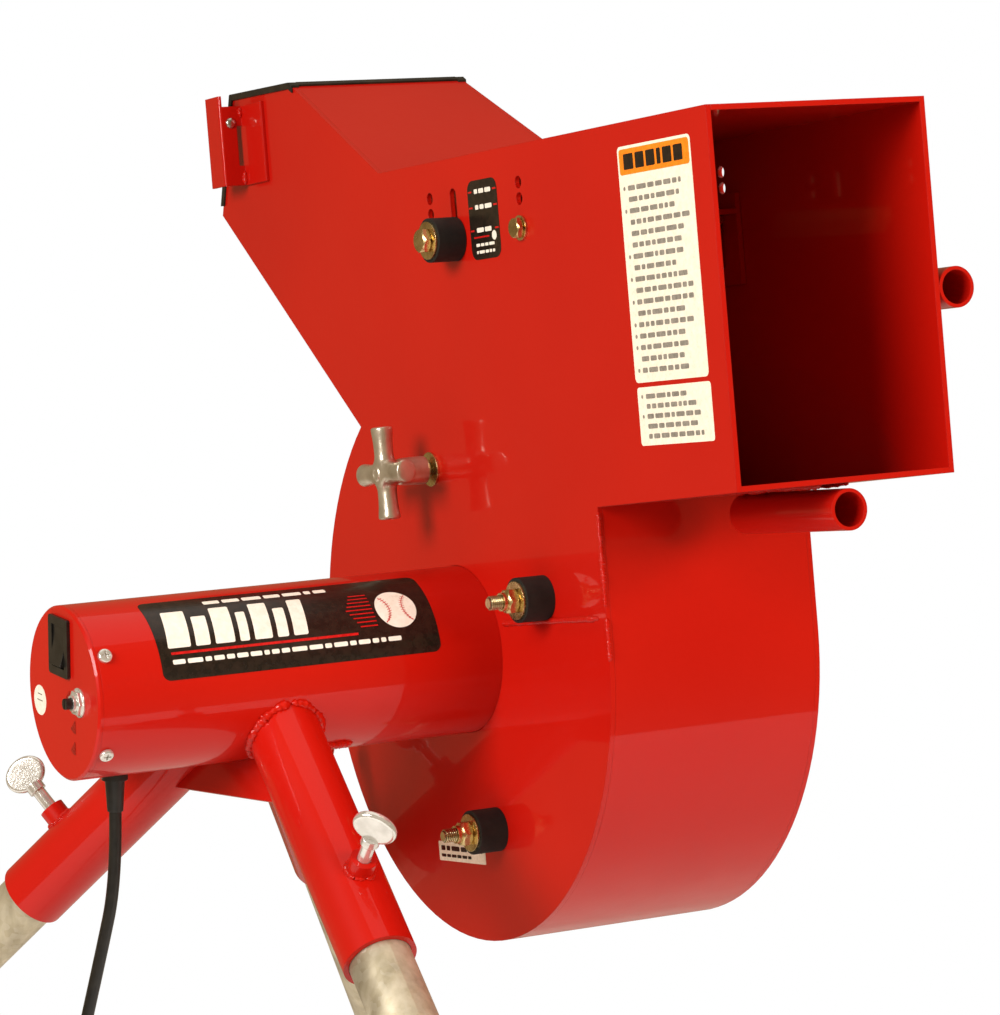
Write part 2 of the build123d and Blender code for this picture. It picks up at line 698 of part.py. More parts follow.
def leg_frame(name):
    """Frame on the motor's axis whose +Z runs down the leg and whose +X is its upper side."""
    azimuth, splay = (radians(value) for value in LEGS[name])
    along = Vector(sin(splay) * cos(azimuth), sin(splay) * sin(azimuth), -cos(splay))
    upper = Vector(cos(splay) * cos(azimuth), cos(splay) * sin(azimuth), sin(splay))
    return Plane(origin=(TRIPOD_X, 0, 0), x_dir=upper, z_dir=along)


def bar(frame, start, end, radius):
    return extrude(frame.offset(start) * Circle(radius), end - start)


def socket(name):
    frame = leg_frame(name)
    tube = bar(frame, 0, SOCKET_END, SOCKET_R) - bar(frame, 30, SOCKET_END + 1, LEG_R + LEG_FIT)
    tube -= rod(TRIPOD_X - 120, TRIPOD_X + 120, HOUSING_R)
    clamp = clamp_frame(name)
    return tube - bar(clamp, -8, 8, 3.9)


def clamp_frame(name):
    """Frame on the socket's upper side whose +Z points out along the clamp screw."""
    frame = leg_frame(name)
    origin = frame.origin + frame.z_dir * CLAMP_AT + frame.x_dir * SOCKET_R
    return Plane(origin=origin, x_dir=frame.z_dir, z_dir=frame.x_dir)


def clamp_boss(name):
    clamp = clamp_frame(name)
    boss = bar(clamp, -3, 8.5, 7.4) - bar(clamp, -4, 9, 3.9)
    return boss - bar(leg_frame(name), 0, SOCKET_END + 5, SOCKET_R)


def clamp_screw(name):
    """Thumb screw with a flat oval paddle."""
    clamp = clamp_frame(name)
    tip = -(SOCKET_R - LEG_R) + MOVING_GAP
    screw = bar(clamp, tip, 26, 3.8)
    collar = bar(clamp, 21, 26, 5.2)
    plate = Plane(origin=clamp.origin + clamp.z_dir * 33.5, x_dir=clamp.x_dir, z_dir=clamp.y_dir)
    paddle = extrude(plate * Ellipse(12.4, 10.0), 2.4, both=True)
    paddle = fillet(paddle.edges(), 2.0)
    return screw + collar + paddle


def reach_to_floor(name):
    return AXLE[2] / cos(radians(LEGS[name][1]))


def leg_tube(name):
    frame = leg_frame(name)
    end = reach_to_floor(name) - 32
    return bar(frame, LEG_TOP, end, LEG_R) - bar(frame, LEG_TOP - 1, end + 1, LEG_R - 2.4)


def foot(name):
    """Moulded rubber tip, its sole cut level with the ground."""
    frame = leg_frame(name)
    reach = reach_to_floor(name)
    start = reach - 32 - FOOT_GRIP
    tip = bar(frame, start, reach + 60, FOOT_R - 3) + bar(frame, reach - 40, reach + 60, FOOT_R)
    tip -= bar(frame, start - 1, reach - 32, LEG_R)
    below = Pos(frame.origin.X, 0, -AXLE[2] - 200) * Box(4000, 4000, 400)
    return tip - below


def gusset(first, second):
    """Web between two sockets, in the plane of their axes, under the motor's housing."""
    a = leg_frame(first)
    b = leg_frame(second)
    reach = 104.0
    corner = a.origin
    p = corner + a.z_dir * reach
    q = corner + b.z_dir * reach
    normal = a.z_dir.cross(b.z_dir).normalized()
    web = Plane(origin=corner, x_dir=(p - q).normalized(), z_dir=normal)
    points = [web.to_local_coords(point) for point in (corner, p, q)]
    face = polygon([(point.X, point.Y) for point in points])
    plate = extrude(web * face, 2.0, both=True)
    plate -= rod(TRIPOD_X - 150, TRIPOD_X + 150, HOUSING_R)
    for name in LEGS:
        plate -= bar(leg_frame(name), 0, SOCKET_END, SOCKET_R)
    solids = plate.solids().sort_by(SortBy.VOLUME)
    return solids[-1]


# --- cord -----------------------------------------------------------------------------------------

CORD_START = (AXLE[0] + CORD_EXIT_X, AXLE[1], AXLE[2] - HOUSING_R - 21.4)
CORD_ROUTE = [
    CORD_START,
    (-119.4, 188.3, 590.0),
    (-128.4, 192.3, 545.0),
    (-137.4, 197.3, 500.0),
    (-146.4, 201.3, 452.0),
    (-153.4, 202.3, 402.0),
    (-158.4, 202.3, 350.0),
    (-161.4, 200.3, 298.0),
    (-163.4, 196.3, 246.0),
    (-164.4, 190.3, 194.0),
    (-164.4, 182.3, 144.0),
    (-163.4, 172.3, 98.0),
    (-161.4, 156.3, 56.0),
    (-158.4, 130.3, 24.0),
    (-154.4, 92.3, 8.0),
    (-148.4, 48.3, 3.8),
    (-143.4, -1.7, 3.8),
    (-142.4, -37.7, 3.8),
]
COIL_CENTRE = (-97.4, -57.7)
COIL_R = 38.0
COIL_HALF_WIDTH = 10.7
COIL_HEIGHT = 14.6
PLUG_CENTRE = (-48.2, -113.0, 9.2)
PLUG_TURN = -14.5


def bend_radii(points):
    """Largest tangent arc at each inner point of a route."""
    radii = []
    for before, here, after in zip(points, points[1:], points[2:]):
        into = Vector(*here) - Vector(*before)
        out = Vector(*after) - Vector(*here)
        half_turn = radians(into.get_angle(out) / 2)
        radii.append(0.45 * min(into.length, out.length) / max(tan(half_turn), 0.001))
    return radii


def cord():
    radii = bend_radii(CORD_ROUTE)
    print("cord arc radii", [round(radius) for radius in radii])
    path = FilletPolyline(*CORD_ROUTE, radius=radii)
    start = Plane(origin=CORD_ROUTE[0], z_dir=Vector(*CORD_ROUTE[1]) - Vector(*CORD_ROUTE[0]))
    return sweep(start * Circle(CORD_R), path=path)


def cord_coil():
    """Outer shape of the coiled rest of the cord."""
    outer = Cylinder(COIL_R + COIL_HALF_WIDTH, COIL_HEIGHT)
    inner = Cylinder(COIL_R - COIL_HALF_WIDTH, COIL_HEIGHT + 2)
    return Pos(COIL_CENTRE[0], COIL_CENTRE[1], 0.3 + COIL_HEIGHT / 2) * (outer - inner)


def cord_plug():
    """Moulded three-pin plug lying beside the coil."""
    body = Box(36, 24, 18)
    body = fillet(body.edges().filter_by(Axis.X), 5)
    neck = Pos(-27, 0, 0) * (Rot(0, -90, 0) * Cone(7, 4.5, 18))
    pins = Pos(27, 6.3, 2) * Box(18, 1.5, 6.4) + Pos(27, -6.3, 2) * Box(18, 1.5, 6.4)
    pins += Pos(27, 0, -5) * (Rot(0, 90, 0) * Cylinder(2.4, 18))
    return Pos(*PLUG_CENTRE) * (Rot(0, 0, PLUG_TURN) * (body + neck + pins))


# --- write every node -----------------------------------------------------------------------------

def main():
    os.makedirs("parts", exist_ok=True)
    guide_bolts, guide_rubbers, guide_washers = guide_pieces()

    for name, piece in (
        ("near_side_plate", near_side_plate()),
        ("far_side_plate", far_side_plate()),
        ("drum_band", drum_band()),
        ("muzzle_roof", muzzle_roof()),
        ("hopper_front_wall", hopper_front_wall()),
        ("hopper_far_side", hopper_far_side()),
        ("feed_ramp", feed_ramp()),
        ("hopper_edge_trim", edge_trim()),
        ("feeder_bracket", feeder_bracket()),
        ("side_accessory_tube", accessory_tube(
            HEAD_WIDTH / 2 + ACCESSORY_R, SIDE_ACCESSORY_Z, SIDE_ACCESSORY_LENGTH)),
        ("lower_accessory_tube", accessory_tube(
            0, FLOOR_BACK_Z + 1.0 - ACCESSORY_R, LOWER_ACCESSORY_LENGTH)),
        ("pivot_studs", pivot_studs()),
        ("pivot_rubbers", pivot_rubbers()),
        ("plate_washers", plate_washers()),
        ("pivot_nuts", pivot_nuts()),
        ("pitch_knob", pitch_knob()),
        ("pad_bolts", pad_bolts()),
        ("pad_carriage", pad_carriage()),
        ("pressure_pad", pressure_pad()),
        ("guide_bolts", guide_bolts),
        ("guide_rubbers", guide_rubbers),
        ("guide_washers", guide_washers),
    ):
        pieces = piece if isinstance(piece, list) else [piece]
        save(name, [on_head(solid) for solid in pieces])

    rear = MOTOR_FRONT_X - MOTOR_LENGTH
    for name, piece in (
        ("tyre", tyre()),
        ("wheel_rim", wheel_rim()),
        ("wheel_hub", wheel_hub()),
        ("motor_shaft", motor_shaft()),
        ("motor_armature", armature()),
        ("motor_can", motor_can()),
        ("motor_magnets", motor_magnets()),
        ("motor_front_bell", end_bell(MOTOR_FRONT_X - 10, MOTOR_FRONT_X, MOTOR_FRONT_X - 10)),
        ("motor_rear_bell", end_bell(rear, rear + 10, rear + 3)),
        ("motor_bearings", motor_bearings()),
        ("motor_housing", housing_tube()),
        ("pivot_flange", pivot_flange()),
        ("end_cap", end_cap()),
        ("end_cap_screws", end_cap_screws()),
        ("switch_bezel", switch_bezel()),
        ("rocker_button", rocker_button()),
        ("speed_control", speed_control()),
        ("speed_dial", speed_dial()),
        ("control_board", control_board()),
        ("strain_relief", strain_relief()),
        ("clamp_bosses", [clamp_boss(name) for name in LEGS]),
        ("socket_gussets", [gusset("front", "left"), gusset("front", "right"), gusset("left", "right")]),
    ):
        pieces = piece if isinstance(piece, list) else [piece]
        save(name, [on_base(solid) for solid in pieces])

    for name in LEGS:
        save(f"{name}_socket", on_base(socket(name)))
        save(f"{name}_clamp_screw", on_base(clamp_screw(name)))
        save(f"{name}_leg_tube", on_base(leg_tube(name)))
        save(f"{name}_foot", on_base(foot(name)))

    save("cord", cord())
    save("cord_coil", cord_coil())
    save("cord_plug", cord_plug())


main()
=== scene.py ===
import json
import random
from math import cos, pi, radians, sin, sqrt

import bmesh
import bpy
from mathutils import Matrix, Vector, noise


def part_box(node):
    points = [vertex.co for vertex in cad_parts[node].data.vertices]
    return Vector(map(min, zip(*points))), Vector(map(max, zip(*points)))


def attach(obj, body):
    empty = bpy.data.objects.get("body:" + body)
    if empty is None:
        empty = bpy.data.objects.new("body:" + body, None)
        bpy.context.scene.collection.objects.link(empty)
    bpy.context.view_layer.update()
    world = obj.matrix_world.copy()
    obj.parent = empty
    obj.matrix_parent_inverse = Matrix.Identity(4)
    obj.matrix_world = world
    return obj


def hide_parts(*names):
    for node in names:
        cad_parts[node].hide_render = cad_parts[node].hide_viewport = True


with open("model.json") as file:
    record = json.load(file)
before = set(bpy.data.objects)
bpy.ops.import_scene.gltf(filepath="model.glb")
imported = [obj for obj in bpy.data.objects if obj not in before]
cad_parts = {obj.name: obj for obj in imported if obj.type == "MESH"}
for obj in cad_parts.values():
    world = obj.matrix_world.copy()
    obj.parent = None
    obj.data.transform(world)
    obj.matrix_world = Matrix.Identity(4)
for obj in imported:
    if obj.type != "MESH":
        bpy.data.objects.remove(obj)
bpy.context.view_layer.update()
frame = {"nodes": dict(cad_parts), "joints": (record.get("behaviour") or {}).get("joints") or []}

# --- places and sizes -----------------------------------------------------------------------------
# Lengths named in millimetres are turned into metres by MM where a point is made.

MM = 0.001
JOINTS = {joint["name"]: joint for joint in frame["joints"]}
AXLE = Vector(JOINTS["head_tilt"]["pos_m"])
HEAD_UP = Vector(JOINTS["pad_height"]["axis"])
ACROSS = Vector((1, 0, 0))
HEAD_BACK = HEAD_UP.cross(ACROSS)

PLATE_X = -68.0
DRUM_R = 170.0
FLOOR_FRONT_Z = 82.5
MUZZLE_Y = -313.5
HOUSING_R = 48.6
CAP_X = -318.0
TRIPOD_X = -199.0
SOCKET_R = 20.65
BOSS_R = 7.4
CLAMP_AT = 165.0
LEG_NAMES = ("front", "left", "right")


def base(x, y, z):
    """A point given from the axle, on the fixed motor and tripod."""
    return AXLE + Vector((x, y, z)) * MM


def head(x, y, z):
    """A point given in the tilted head's own directions, from the axle."""
    return AXLE + (ACROSS * x + HEAD_BACK * y + HEAD_UP * z) * MM


# --- materials ------------------------------------------------------------------------------------

def srgb(red, green, blue):
    """A linear colour from 0-255 display values."""
    values = []
    for value in (red, green, blue):
        value = value / 255
        values.append(value / 12.92 if value <= 0.04045 else ((value + 0.055) / 1.055) ** 2.4)
    return (*values, 1.0)


class Surface:
    """A material under construction: its shader's sockets and the nodes that feed them."""

    def __init__(self, name, **sockets):
        self.material = bpy.data.materials.new(name)
        self.material.use_nodes = True
        self.tree = self.material.node_tree
        self.shader = self.tree.nodes["Principled BSDF"]
        self.coords = self.add("ShaderNodeTexCoord").outputs["Object"]
        self.normal = None
        for key, value in sockets.items():
            self.shader.inputs[key.replace("_", " ")].default_value = value

    def add(self, kind, **inputs):
        node = self.tree.nodes.new(kind)
        for key, value in inputs.items():
            node.inputs[key].default_value = value
        return node

    def link(self, source, target):
        self.tree.links.new(source, target)

    def noise(self, scale, detail=3.0, stretch=(1, 1, 1), turn=(0, 0, 0)):
        """Noise with scale features per metre, drawn out along any axis by stretch."""
        mapping = self.add("ShaderNodeMapping", Scale=stretch, Rotation=turn)
        texture = self.add("ShaderNodeTexNoise", Scale=scale, Detail=detail, Roughness=0.55)
        self.link(self.coords, mapping.inputs["Vector"])
        self.link(mapping.outputs["Vector"], texture.inputs["Vector"])
        return texture.outputs["Fac"]

    def bands(self, scale, turn=(0, 0, 0)):
        """Even stripes across X after the turn."""
        mapping = self.add("ShaderNodeMapping", Rotation=turn)
        texture = self.add("ShaderNodeTexWave", Scale=scale)
        self.link(self.coords, mapping.inputs["Vector"])
        self.link(mapping.outputs["Vector"], texture.inputs["Vector"])
        return texture.outputs["Fac"]

    def cells(self, scale, stretch=(1, 1, 1)):
        mapping = self.add("ShaderNodeMapping", Scale=stretch)
        texture = self.add("ShaderNodeTexVoronoi", Scale=scale)
        self.link(self.coords, mapping.inputs["Vector"])
        self.link(mapping.outputs["Vector"], texture.inputs["Vector"])
        return texture.outputs["Color"]

    def ramp(self, factor, *stops):
        """Colours at places along factor; a number stands for a grey."""
        node = self.add("ShaderNodeValToRGB")
        elements = node.color_ramp.elements
        while len(elements) < len(stops):
            elements.new(0.5)
        for element, (place, colour) in zip(elements, stops):
            element.position = place
            element.color = colour if isinstance(colour, tuple) else (colour, colour, colour, 1)
        self.link(factor, node.inputs["Fac"])
        return node.outputs["Color"]

    def mix(self, factor, first, second):
        node = self.add("ShaderNodeMix")
        node.data_type = "RGBA"
        for socket, value in ((node.inputs[0], factor), (node.inputs[6], first),
                              (node.inputs[7], second)):
            if isinstance(value, bpy.types.NodeSocket):
                self.link(value, socket)
            else:
                socket.default_value = value
        return node.outputs[2]

    def colour(self, value):
        self.link(value, self.shader.inputs["Base Color"])

    def roughness(self, factor, low, high):
        node = self.add("ShaderNodeMapRange")
        node.inputs["To Min"].default_value = low
        node.inputs["To Max"].default_value = high
        self.link(factor, node.inputs["Value"])
        self.link(node.outputs["Result"], self.shader.inputs["Roughness"])

    def bump(self, height, distance, strength=1.0):
        """Relief of that many metres, on top of any earlier relief."""
        node = self.add("ShaderNodeBump", Distance=distance, Strength=strength)
        self.link(height, node.inputs["Height"])
        if self.normal is not None:
            self.link(self.normal, node.inputs["Normal"])
        self.normal = node.outputs["Normal"]
        self.link(self.normal, self.shader.inputs["Normal"])
        return self

    def soft_edges(self, radius):
        """Corners catch the light as if rounded to that radius in metres."""
        node = self.add("ShaderNodeBevel", Radius=radius)
        node.samples = 4
        self.normal = node.outputs["Normal"]
        return self


def red_paint(name="red_gloss_paint", texture=1.0):
    """Thick gloss powder coat: orange peel, slow waviness of the sheet, slightly uneven shade."""
    paint = Surface(name, Roughness=0.42, Coat_Weight=0.5, Coat_Roughness=0.035,
                    Coat_IOR=1.45, Specular_IOR_Level=0.12)
    slow = paint.noise(5.0, detail=2.0)
    shade = paint.ramp(slow, (0.3, srgb(183, 14, 4)), (0.7, srgb(191, 20, 6)))
    specks = paint.ramp(paint.noise(950.0, detail=1.0), (0.72, 0.0), (0.8, 0.25))
    paint.colour(paint.mix(specks, shade, srgb(158, 10, 4)))
    paint.roughness(paint.noise(38.0), 0.36, 0.48)
    paint.soft_edges(0.0009)
    paint.bump(paint.noise(9.0, detail=1.0), 0.0016 * texture)
    paint.bump(paint.noise(260.0, detail=1.5), 0.000035 * texture)
    return paint.material


def plated(name, light, dark, roughness=(0.18, 0.34), metallic=1.0):
    """Plated steel with a passivation tint that drifts over the surface."""
    metal = Surface(name, Metallic=metallic)
    drift = metal.noise(120.0, detail=4.0)
    metal.colour(metal.ramp(drift, (0.35, light), (0.66, dark)))
    metal.roughness(metal.noise(420.0, detail=4.0), *roughness)
    metal.soft_edges(0.0004)
    metal.bump(metal.noise(900.0, detail=2.0), 0.00003)
    return metal.material


def threaded(name, axis, light, pitch=0.00125):
    """Plated thread: ridges one pitch apart along the given direction, with painted shade in the grooves
    between them.
    """
    metal = Surface(name, Metallic=1.0, Roughness=0.27)
    turn = axis.rotation_difference(ACROSS).to_euler()
    wave = metal.bands(0.314 / pitch, turn=tuple(turn))
    # Colour runs from a painted shade in the grooves, at 35% of the plating, up to the plated colour on
    # the ridges.
    metal.colour(metal.ramp(wave, (0.15, tuple(v * 0.35 for v in light[:3]) + (1,)), (0.6, light)))
    metal.bump(wave, 0.0007)
    return metal.material


def polished_cast(name):
    """Plated casting: mirror-like on top of a faintly lumpy skin."""
    metal = Surface(name, Metallic=0.8)
    metal.colour(metal.ramp(metal.noise(60.0), (0.3, srgb(176, 164, 142)), (0.7, srgb(226, 216, 196))))
    metal.roughness(metal.noise(140.0, detail=5.0), 0.22, 0.42)
    metal.bump(metal.noise(110.0, detail=3.0), 0.0004)
    metal.bump(metal.noise(800.0, detail=2.0), 0.00005)
    return metal.material


def galvanised(name, axis):
    """Drawn tube with a dull zinc skin: spangle, long scuffs and stains along its length."""
    metal = Surface(name, Metallic=0.55, Specular_IOR_Level=0.4)
    turn = tuple(axis.rotation_difference(Vector((0, 0, 1))).to_euler())
    streaks = metal.noise(90.0, detail=6.0, stretch=(1, 1, 0.05), turn=turn)
    stains = metal.noise(14.0, detail=5.0, stretch=(1, 1, 0.35), turn=turn)
    skin = metal.ramp(streaks, (0.3, srgb(168, 156, 130)), (0.5, srgb(198, 186, 157)),
                      (0.72, srgb(221, 210, 185)))
    marks = metal.ramp(stains, (0.34, 1.0), (0.46, 0.0))
    shade = metal.mix(marks, skin, srgb(150, 138, 114))
    spangle = metal.ramp(metal.cells(260.0), (0.2, 0.0), (0.9, 0.22))
    metal.colour(metal.mix(spangle, shade, srgb(226, 220, 204)))
    metal.roughness(streaks, 0.34, 0.56)
    metal.bump(streaks, 0.00012)
    metal.bump(metal.noise(700.0, detail=3.0), 0.00003)
    return metal.material


def rubber(name, shade, dusty, roughness=(0.55, 0.78), grain=900.0, depth=0.00006):
    """Moulded rubber: fine grain, dust in the low places."""
    skin = Surface(name, Specular_IOR_Level=0.35)
    skin.colour(skin.ramp(skin.noise(85.0, detail=5.0), (0.35, shade), (0.75, dusty)))
    skin.roughness(skin.noise(260.0), *roughness)
    skin.soft_edges(0.0006)
    skin.bump(skin.noise(grain, detail=4.0), depth)
    return skin.material


def plastic(name, shade, dusty, roughness=(0.25, 0.4)):
    """Moulded plastic with the fine texture of its tool."""
    skin = Surface(name, Specular_IOR_Level=0.5)
    skin.colour(skin.ramp(skin.noise(150.0, detail=4.0), (0.35, shade), (0.75, dusty)))
    skin.roughness(skin.noise(500.0), *roughness)
    skin.soft_edges(0.0005)
    skin.bump(skin.noise(1500.0, detail=2.0), 0.00002)
    return skin.material


def brushed(name, light, dark, roughness=(0.3, 0.5)):
    """Machined or drawn metal with fine lines along X."""
    metal = Surface(name, Metallic=1.0)
    lines = metal.noise(600.0, detail=4.0, stretch=(0.06, 1, 1))
    metal.colour(metal.ramp(lines, (0.3, dark), (0.7, light)))
    metal.roughness(lines, *roughness)
    metal.bump(lines, 0.00003)
    return metal.material


def laminations(name):
    """Stacked sheets of the armature, seen as fine rings across X."""
    metal = Surface(name, Metallic=0.8)
    rings = metal.bands(620.0)
    metal.colour(metal.ramp(rings, (0.2, srgb(52, 44, 40)), (0.8, srgb(128, 118, 108))))
    metal.roughness(metal.noise(200.0), 0.4, 0.6)
    metal.bump(rings, 0.0002)
    return metal.material


def ferrite(name):
    stone = Surface(name, Specular_IOR_Level=0.3)
    stone.colour(stone.ramp(stone.noise(300.0, detail=6.0), (0.3, srgb(34, 33, 34)),
                            (0.75, srgb(64, 62, 62))))
    stone.roughness(stone.noise(90.0), 0.6, 0.85)
    stone.bump(stone.noise(420.0, detail=6.0), 0.0002)
    return stone.material


def circuit_board(name):
    board = Surface(name, Specular_IOR_Level=0.5, Coat_Weight=0.3)
    tracks = board.ramp(board.cells(210.0, (1, 1, 0.2)), (0.45, 0.0), (0.5, 1.0))
    board.colour(board.mix(tracks, srgb(20, 82, 44), srgb(38, 122, 66)))
    board.roughness(board.noise(260.0), 0.25, 0.45)
    board.bump(tracks, 0.00004)
    return board.material


def urethane(name):
    """Cast pressure pad, amber-tan with scuffs from the balls along Y."""
    pad = Surface(name, Specular_IOR_Level=0.4, Subsurface_Weight=0.08)
    scuffs = pad.noise(130.0, detail=5.0, stretch=(1, 0.08, 1))
    pad.colour(pad.ramp(scuffs, (0.3, srgb(120, 84, 46)), (0.7, srgb(172, 128, 74))))
    pad.roughness(scuffs, 0.4, 0.7)
    pad.bump(scuffs, 0.0003)
    return pad.material


def print_film(name, shade, worn, gloss=(0.22, 0.34)):
    """Printed vinyl: slightly mottled ink under a satin film."""
    film = Surface(name, Specular_IOR_Level=0.35)
    film.colour(film.ramp(film.noise(240.0, detail=5.0), (0.35, shade), (0.72, worn)))
    film.roughness(film.noise(500.0), *gloss)
    film.bump(film.noise(1400.0, detail=2.0), 0.00001)
    return film.material


def floor_material():
    """Pale seamless paper with a faint tooth."""
    paper = Surface("floor_paper", Roughness=0.9, Specular_IOR_Level=0.1)
    paper.colour(paper.ramp(paper.noise(40.0, detail=6.0), (0.3, srgb(243, 243, 241)),
                            (0.7, srgb(248, 248, 246))))
    paper.bump(paper.noise(900.0), 0.00005)
    return paper.material


RED = red_paint()
WELD_RED = red_paint("red_paint_on_weld", texture=1.8)
GOLD = plated("gold_zinc_plate", srgb(226, 204, 150), srgb(186, 160, 108))
BRIGHT = plated("bright_zinc_plate", srgb(214, 210, 200), srgb(168, 164, 156))
CHROME = plated("chrome_plate", srgb(238, 236, 230), srgb(214, 211, 204), (0.08, 0.18), 0.7)
STUD_THREAD = threaded("stud_thread", ACROSS, srgb(222, 202, 158))
CAST = polished_cast("plated_casting")
BLACK_RUBBER = rubber("bushing_rubber", srgb(17, 16, 14), srgb(36, 33, 28))
TRIM_RUBBER = rubber("trim_rubber", srgb(22, 19, 14), srgb(48, 40, 27), (0.45, 0.65))
FOOT_RUBBER = rubber("foot_rubber", srgb(24, 24, 24), srgb(58, 56, 53), depth=0.0002)
TYRE_RUBBER = rubber("tyre_rubber", srgb(28, 27, 26), srgb(66, 62, 57), (0.6, 0.85), 500.0, 0.0003)
CORD_PVC = plastic("cord_pvc", srgb(15, 14, 13), srgb(32, 29, 25), (0.24, 0.4))
BLACK_PLASTIC = plastic("black_plastic", srgb(16, 15, 14), srgb(34, 31, 28))
BRASS = brushed("prong_brass", srgb(206, 178, 108), srgb(150, 120, 62), (0.25, 0.4))
ALUMINIUM = brushed("rim_aluminium", srgb(196, 196, 194), srgb(150, 150, 150))
SHAFT_STEEL = brushed("ground_steel", srgb(190, 188, 186), srgb(134, 132, 130), (0.16, 0.3))
CAN_STEEL = brushed("motor_can_steel", srgb(120, 122, 126), srgb(82, 84, 88))
ARMATURE = laminations("armature_laminations")
MAGNET = ferrite("ferrite_magnet")
BOARD = circuit_board("circuit_board")
URETHANE = urethane("pad_urethane")
CREAM = print_film("label_cream", srgb(253, 242, 222), srgb(242, 229, 205))
WHITE = print_film("label_white", srgb(246, 238, 224), srgb(234, 224, 206))
ORANGE = print_film("label_orange", srgb(255, 140, 30), srgb(246, 126, 22))
BLACK_INK = print_film("label_black", srgb(26, 20, 15), srgb(44, 32, 24), (0.16, 0.26))
GREY_INK = print_film("label_grey_ink", srgb(128, 122, 112), srgb(156, 148, 136))
RED_INK = print_film("label_red_ink", srgb(206, 24, 22), srgb(176, 16, 16))
# Dark red of the three triangles painted flat on the end cap.
CAP_TRIANGLE_RED = print_film("dark_red_mark", srgb(150, 8, 4), srgb(132, 6, 4))


def leg_axis(name):
    return Vector(JOINTS[f"{name}_leg_slide"]["axis"])


def clamp_axis(name):
    return Vector(JOINTS[f"{name}_clamp_turn"]["axis"])


PADDLE_TURNS = {"front": radians(50), "left": radians(25)}


def set_paddle(name, turn):
    """The clamp screw as it was left after tightening, turned from its drawn position."""
    pivot = Vector(JOINTS[f"{name}_clamp_turn"]["pos_m"])
    source = frame["nodes"][f"{name}_clamp_screw"]
    mesh = source.data.copy()
    spin = Matrix.Rotation(turn, 4, clamp_axis(name))
    mesh.transform(Matrix.Translation(pivot) @ spin @ Matrix.Translation(-pivot) @ source.matrix_world)
    piece = bpy.data.objects.new(f"{name}_set_screw", mesh)
    bpy.context.scene.collection.objects.link(piece)
    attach(piece, f"{name}_clamp")
    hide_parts(f"{name}_clamp_screw")


def dress_nodes():
    """Every CAD node that stays in view gets its finished material."""
    finishes = {
        RED: ("near_side_plate", "far_side_plate", "drum_band", "muzzle_roof", "hopper_front_wall",
              "hopper_far_side", "feed_ramp", "feeder_bracket", "side_accessory_tube", "pad_carriage",
              "lower_accessory_tube", "motor_housing", "pivot_flange", "end_cap", "clamp_bosses",
              "socket_gussets", "front_socket", "left_socket", "right_socket"),
        GOLD: ("plate_washers", "pivot_nuts", "guide_bolts", "guide_washers", "pad_bolts"),
        BRIGHT: ("wheel_hub",),
        CHROME: ("speed_control", "end_cap_screws"),
        STUD_THREAD: ("pivot_studs",),
        BLACK_RUBBER: ("pivot_rubbers", "guide_rubbers"),
        TRIM_RUBBER: ("hopper_edge_trim",),
        FOOT_RUBBER: ("front_foot", "left_foot", "right_foot"),
        BLACK_PLASTIC: ("switch_bezel", "rocker_button", "strain_relief", "speed_dial"),
        ALUMINIUM: ("wheel_rim", "motor_front_bell", "motor_rear_bell"),
        SHAFT_STEEL: ("motor_shaft", "motor_bearings"),
        CAN_STEEL: ("motor_can",),
        ARMATURE: ("motor_armature",),
        MAGNET: ("motor_magnets",),
        BOARD: ("control_board",),
        URETHANE: ("pressure_pad",),
    }
    for material, nodes in finishes.items():
        for node in nodes:
            finish_node(node, material)
    for name in LEG_NAMES:
        finish_node(f"{name}_leg_tube", galvanised(f"{name}_leg_zinc", leg_axis(name)))
        finish_node(f"{name}_clamp_screw", CHROME)


def finish_node(node, material):
    slots = frame["nodes"][node].material_slots
    for each in slots:
        each.material = material
    if not slots:
        frame["nodes"][node].data.materials.append(material)


# --- mesh helpers ---------------------------------------------------------------------------------

def finish_mesh(name, mesh_data, material, body, smooth=True, subdivide=0):
    """A scene object from a bmesh, riding on a body."""
    mesh = bpy.data.meshes.new(name)
    mesh_data.to_mesh(mesh)
    mesh_data.free()
    mesh.materials.append(material)
    for polygon in mesh.polygons:
        polygon.use_smooth = smooth
    piece = bpy.data.objects.new(name, mesh)
    bpy.context.scene.collection.objects.link(piece)
    if subdivide:
        modifier = piece.modifiers.new("subdivision", "SUBSURF")
        modifier.levels = subdivide
        modifier.render_levels = subdivide
    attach(piece, body)
    return piece


def loft(bm, rings, caps=True):
    """Closed rings of points joined into a skin."""
    loops = [[bm.verts.new(point) for point in ring] for ring in rings]
    count = len(loops[0])
    for low, high in zip(loops, loops[1:]):
        for i in range(count):
            bm.faces.new((low[i], low[(i + 1) % count], high[(i + 1) % count], high[i]))
    if caps:
        bm.faces.new(list(reversed(loops[0])))
        bm.faces.new(loops[-1])


def circle(centre, first, second, radius, count=24):
    points = []
    for i in range(count):
        angle = 2 * pi * i / count
        points.append(centre + (first * cos(angle) + second * sin(angle)) * radius)
    return points


def square_to(axis):
    """Two directions square to an axis."""
    first = axis.orthogonal().normalized()
    return first, axis.cross(first).normalized()


def turned(bm, origin, axis, profile, count=32):
    """Skin of revolution; the profile is (along, radius) in millimetres."""
    first, second = square_to(axis)
    rings = []
    for along, radius in profile:
        rings.append(circle(origin + axis * along * MM, first, second, max(radius, 0.01) * MM, count))
    loft(bm, rings)


def resample(points, step):
    """Points an even step apart along a polyline."""
    samples = [points[0].copy()]
    left = step
    for a, b in zip(points, points[1:]):
        length = (b - a).length
        place = left
        while place <= length:
            samples.append(a.lerp(b, place / length))
            place += step
        left = place - length
    return samples


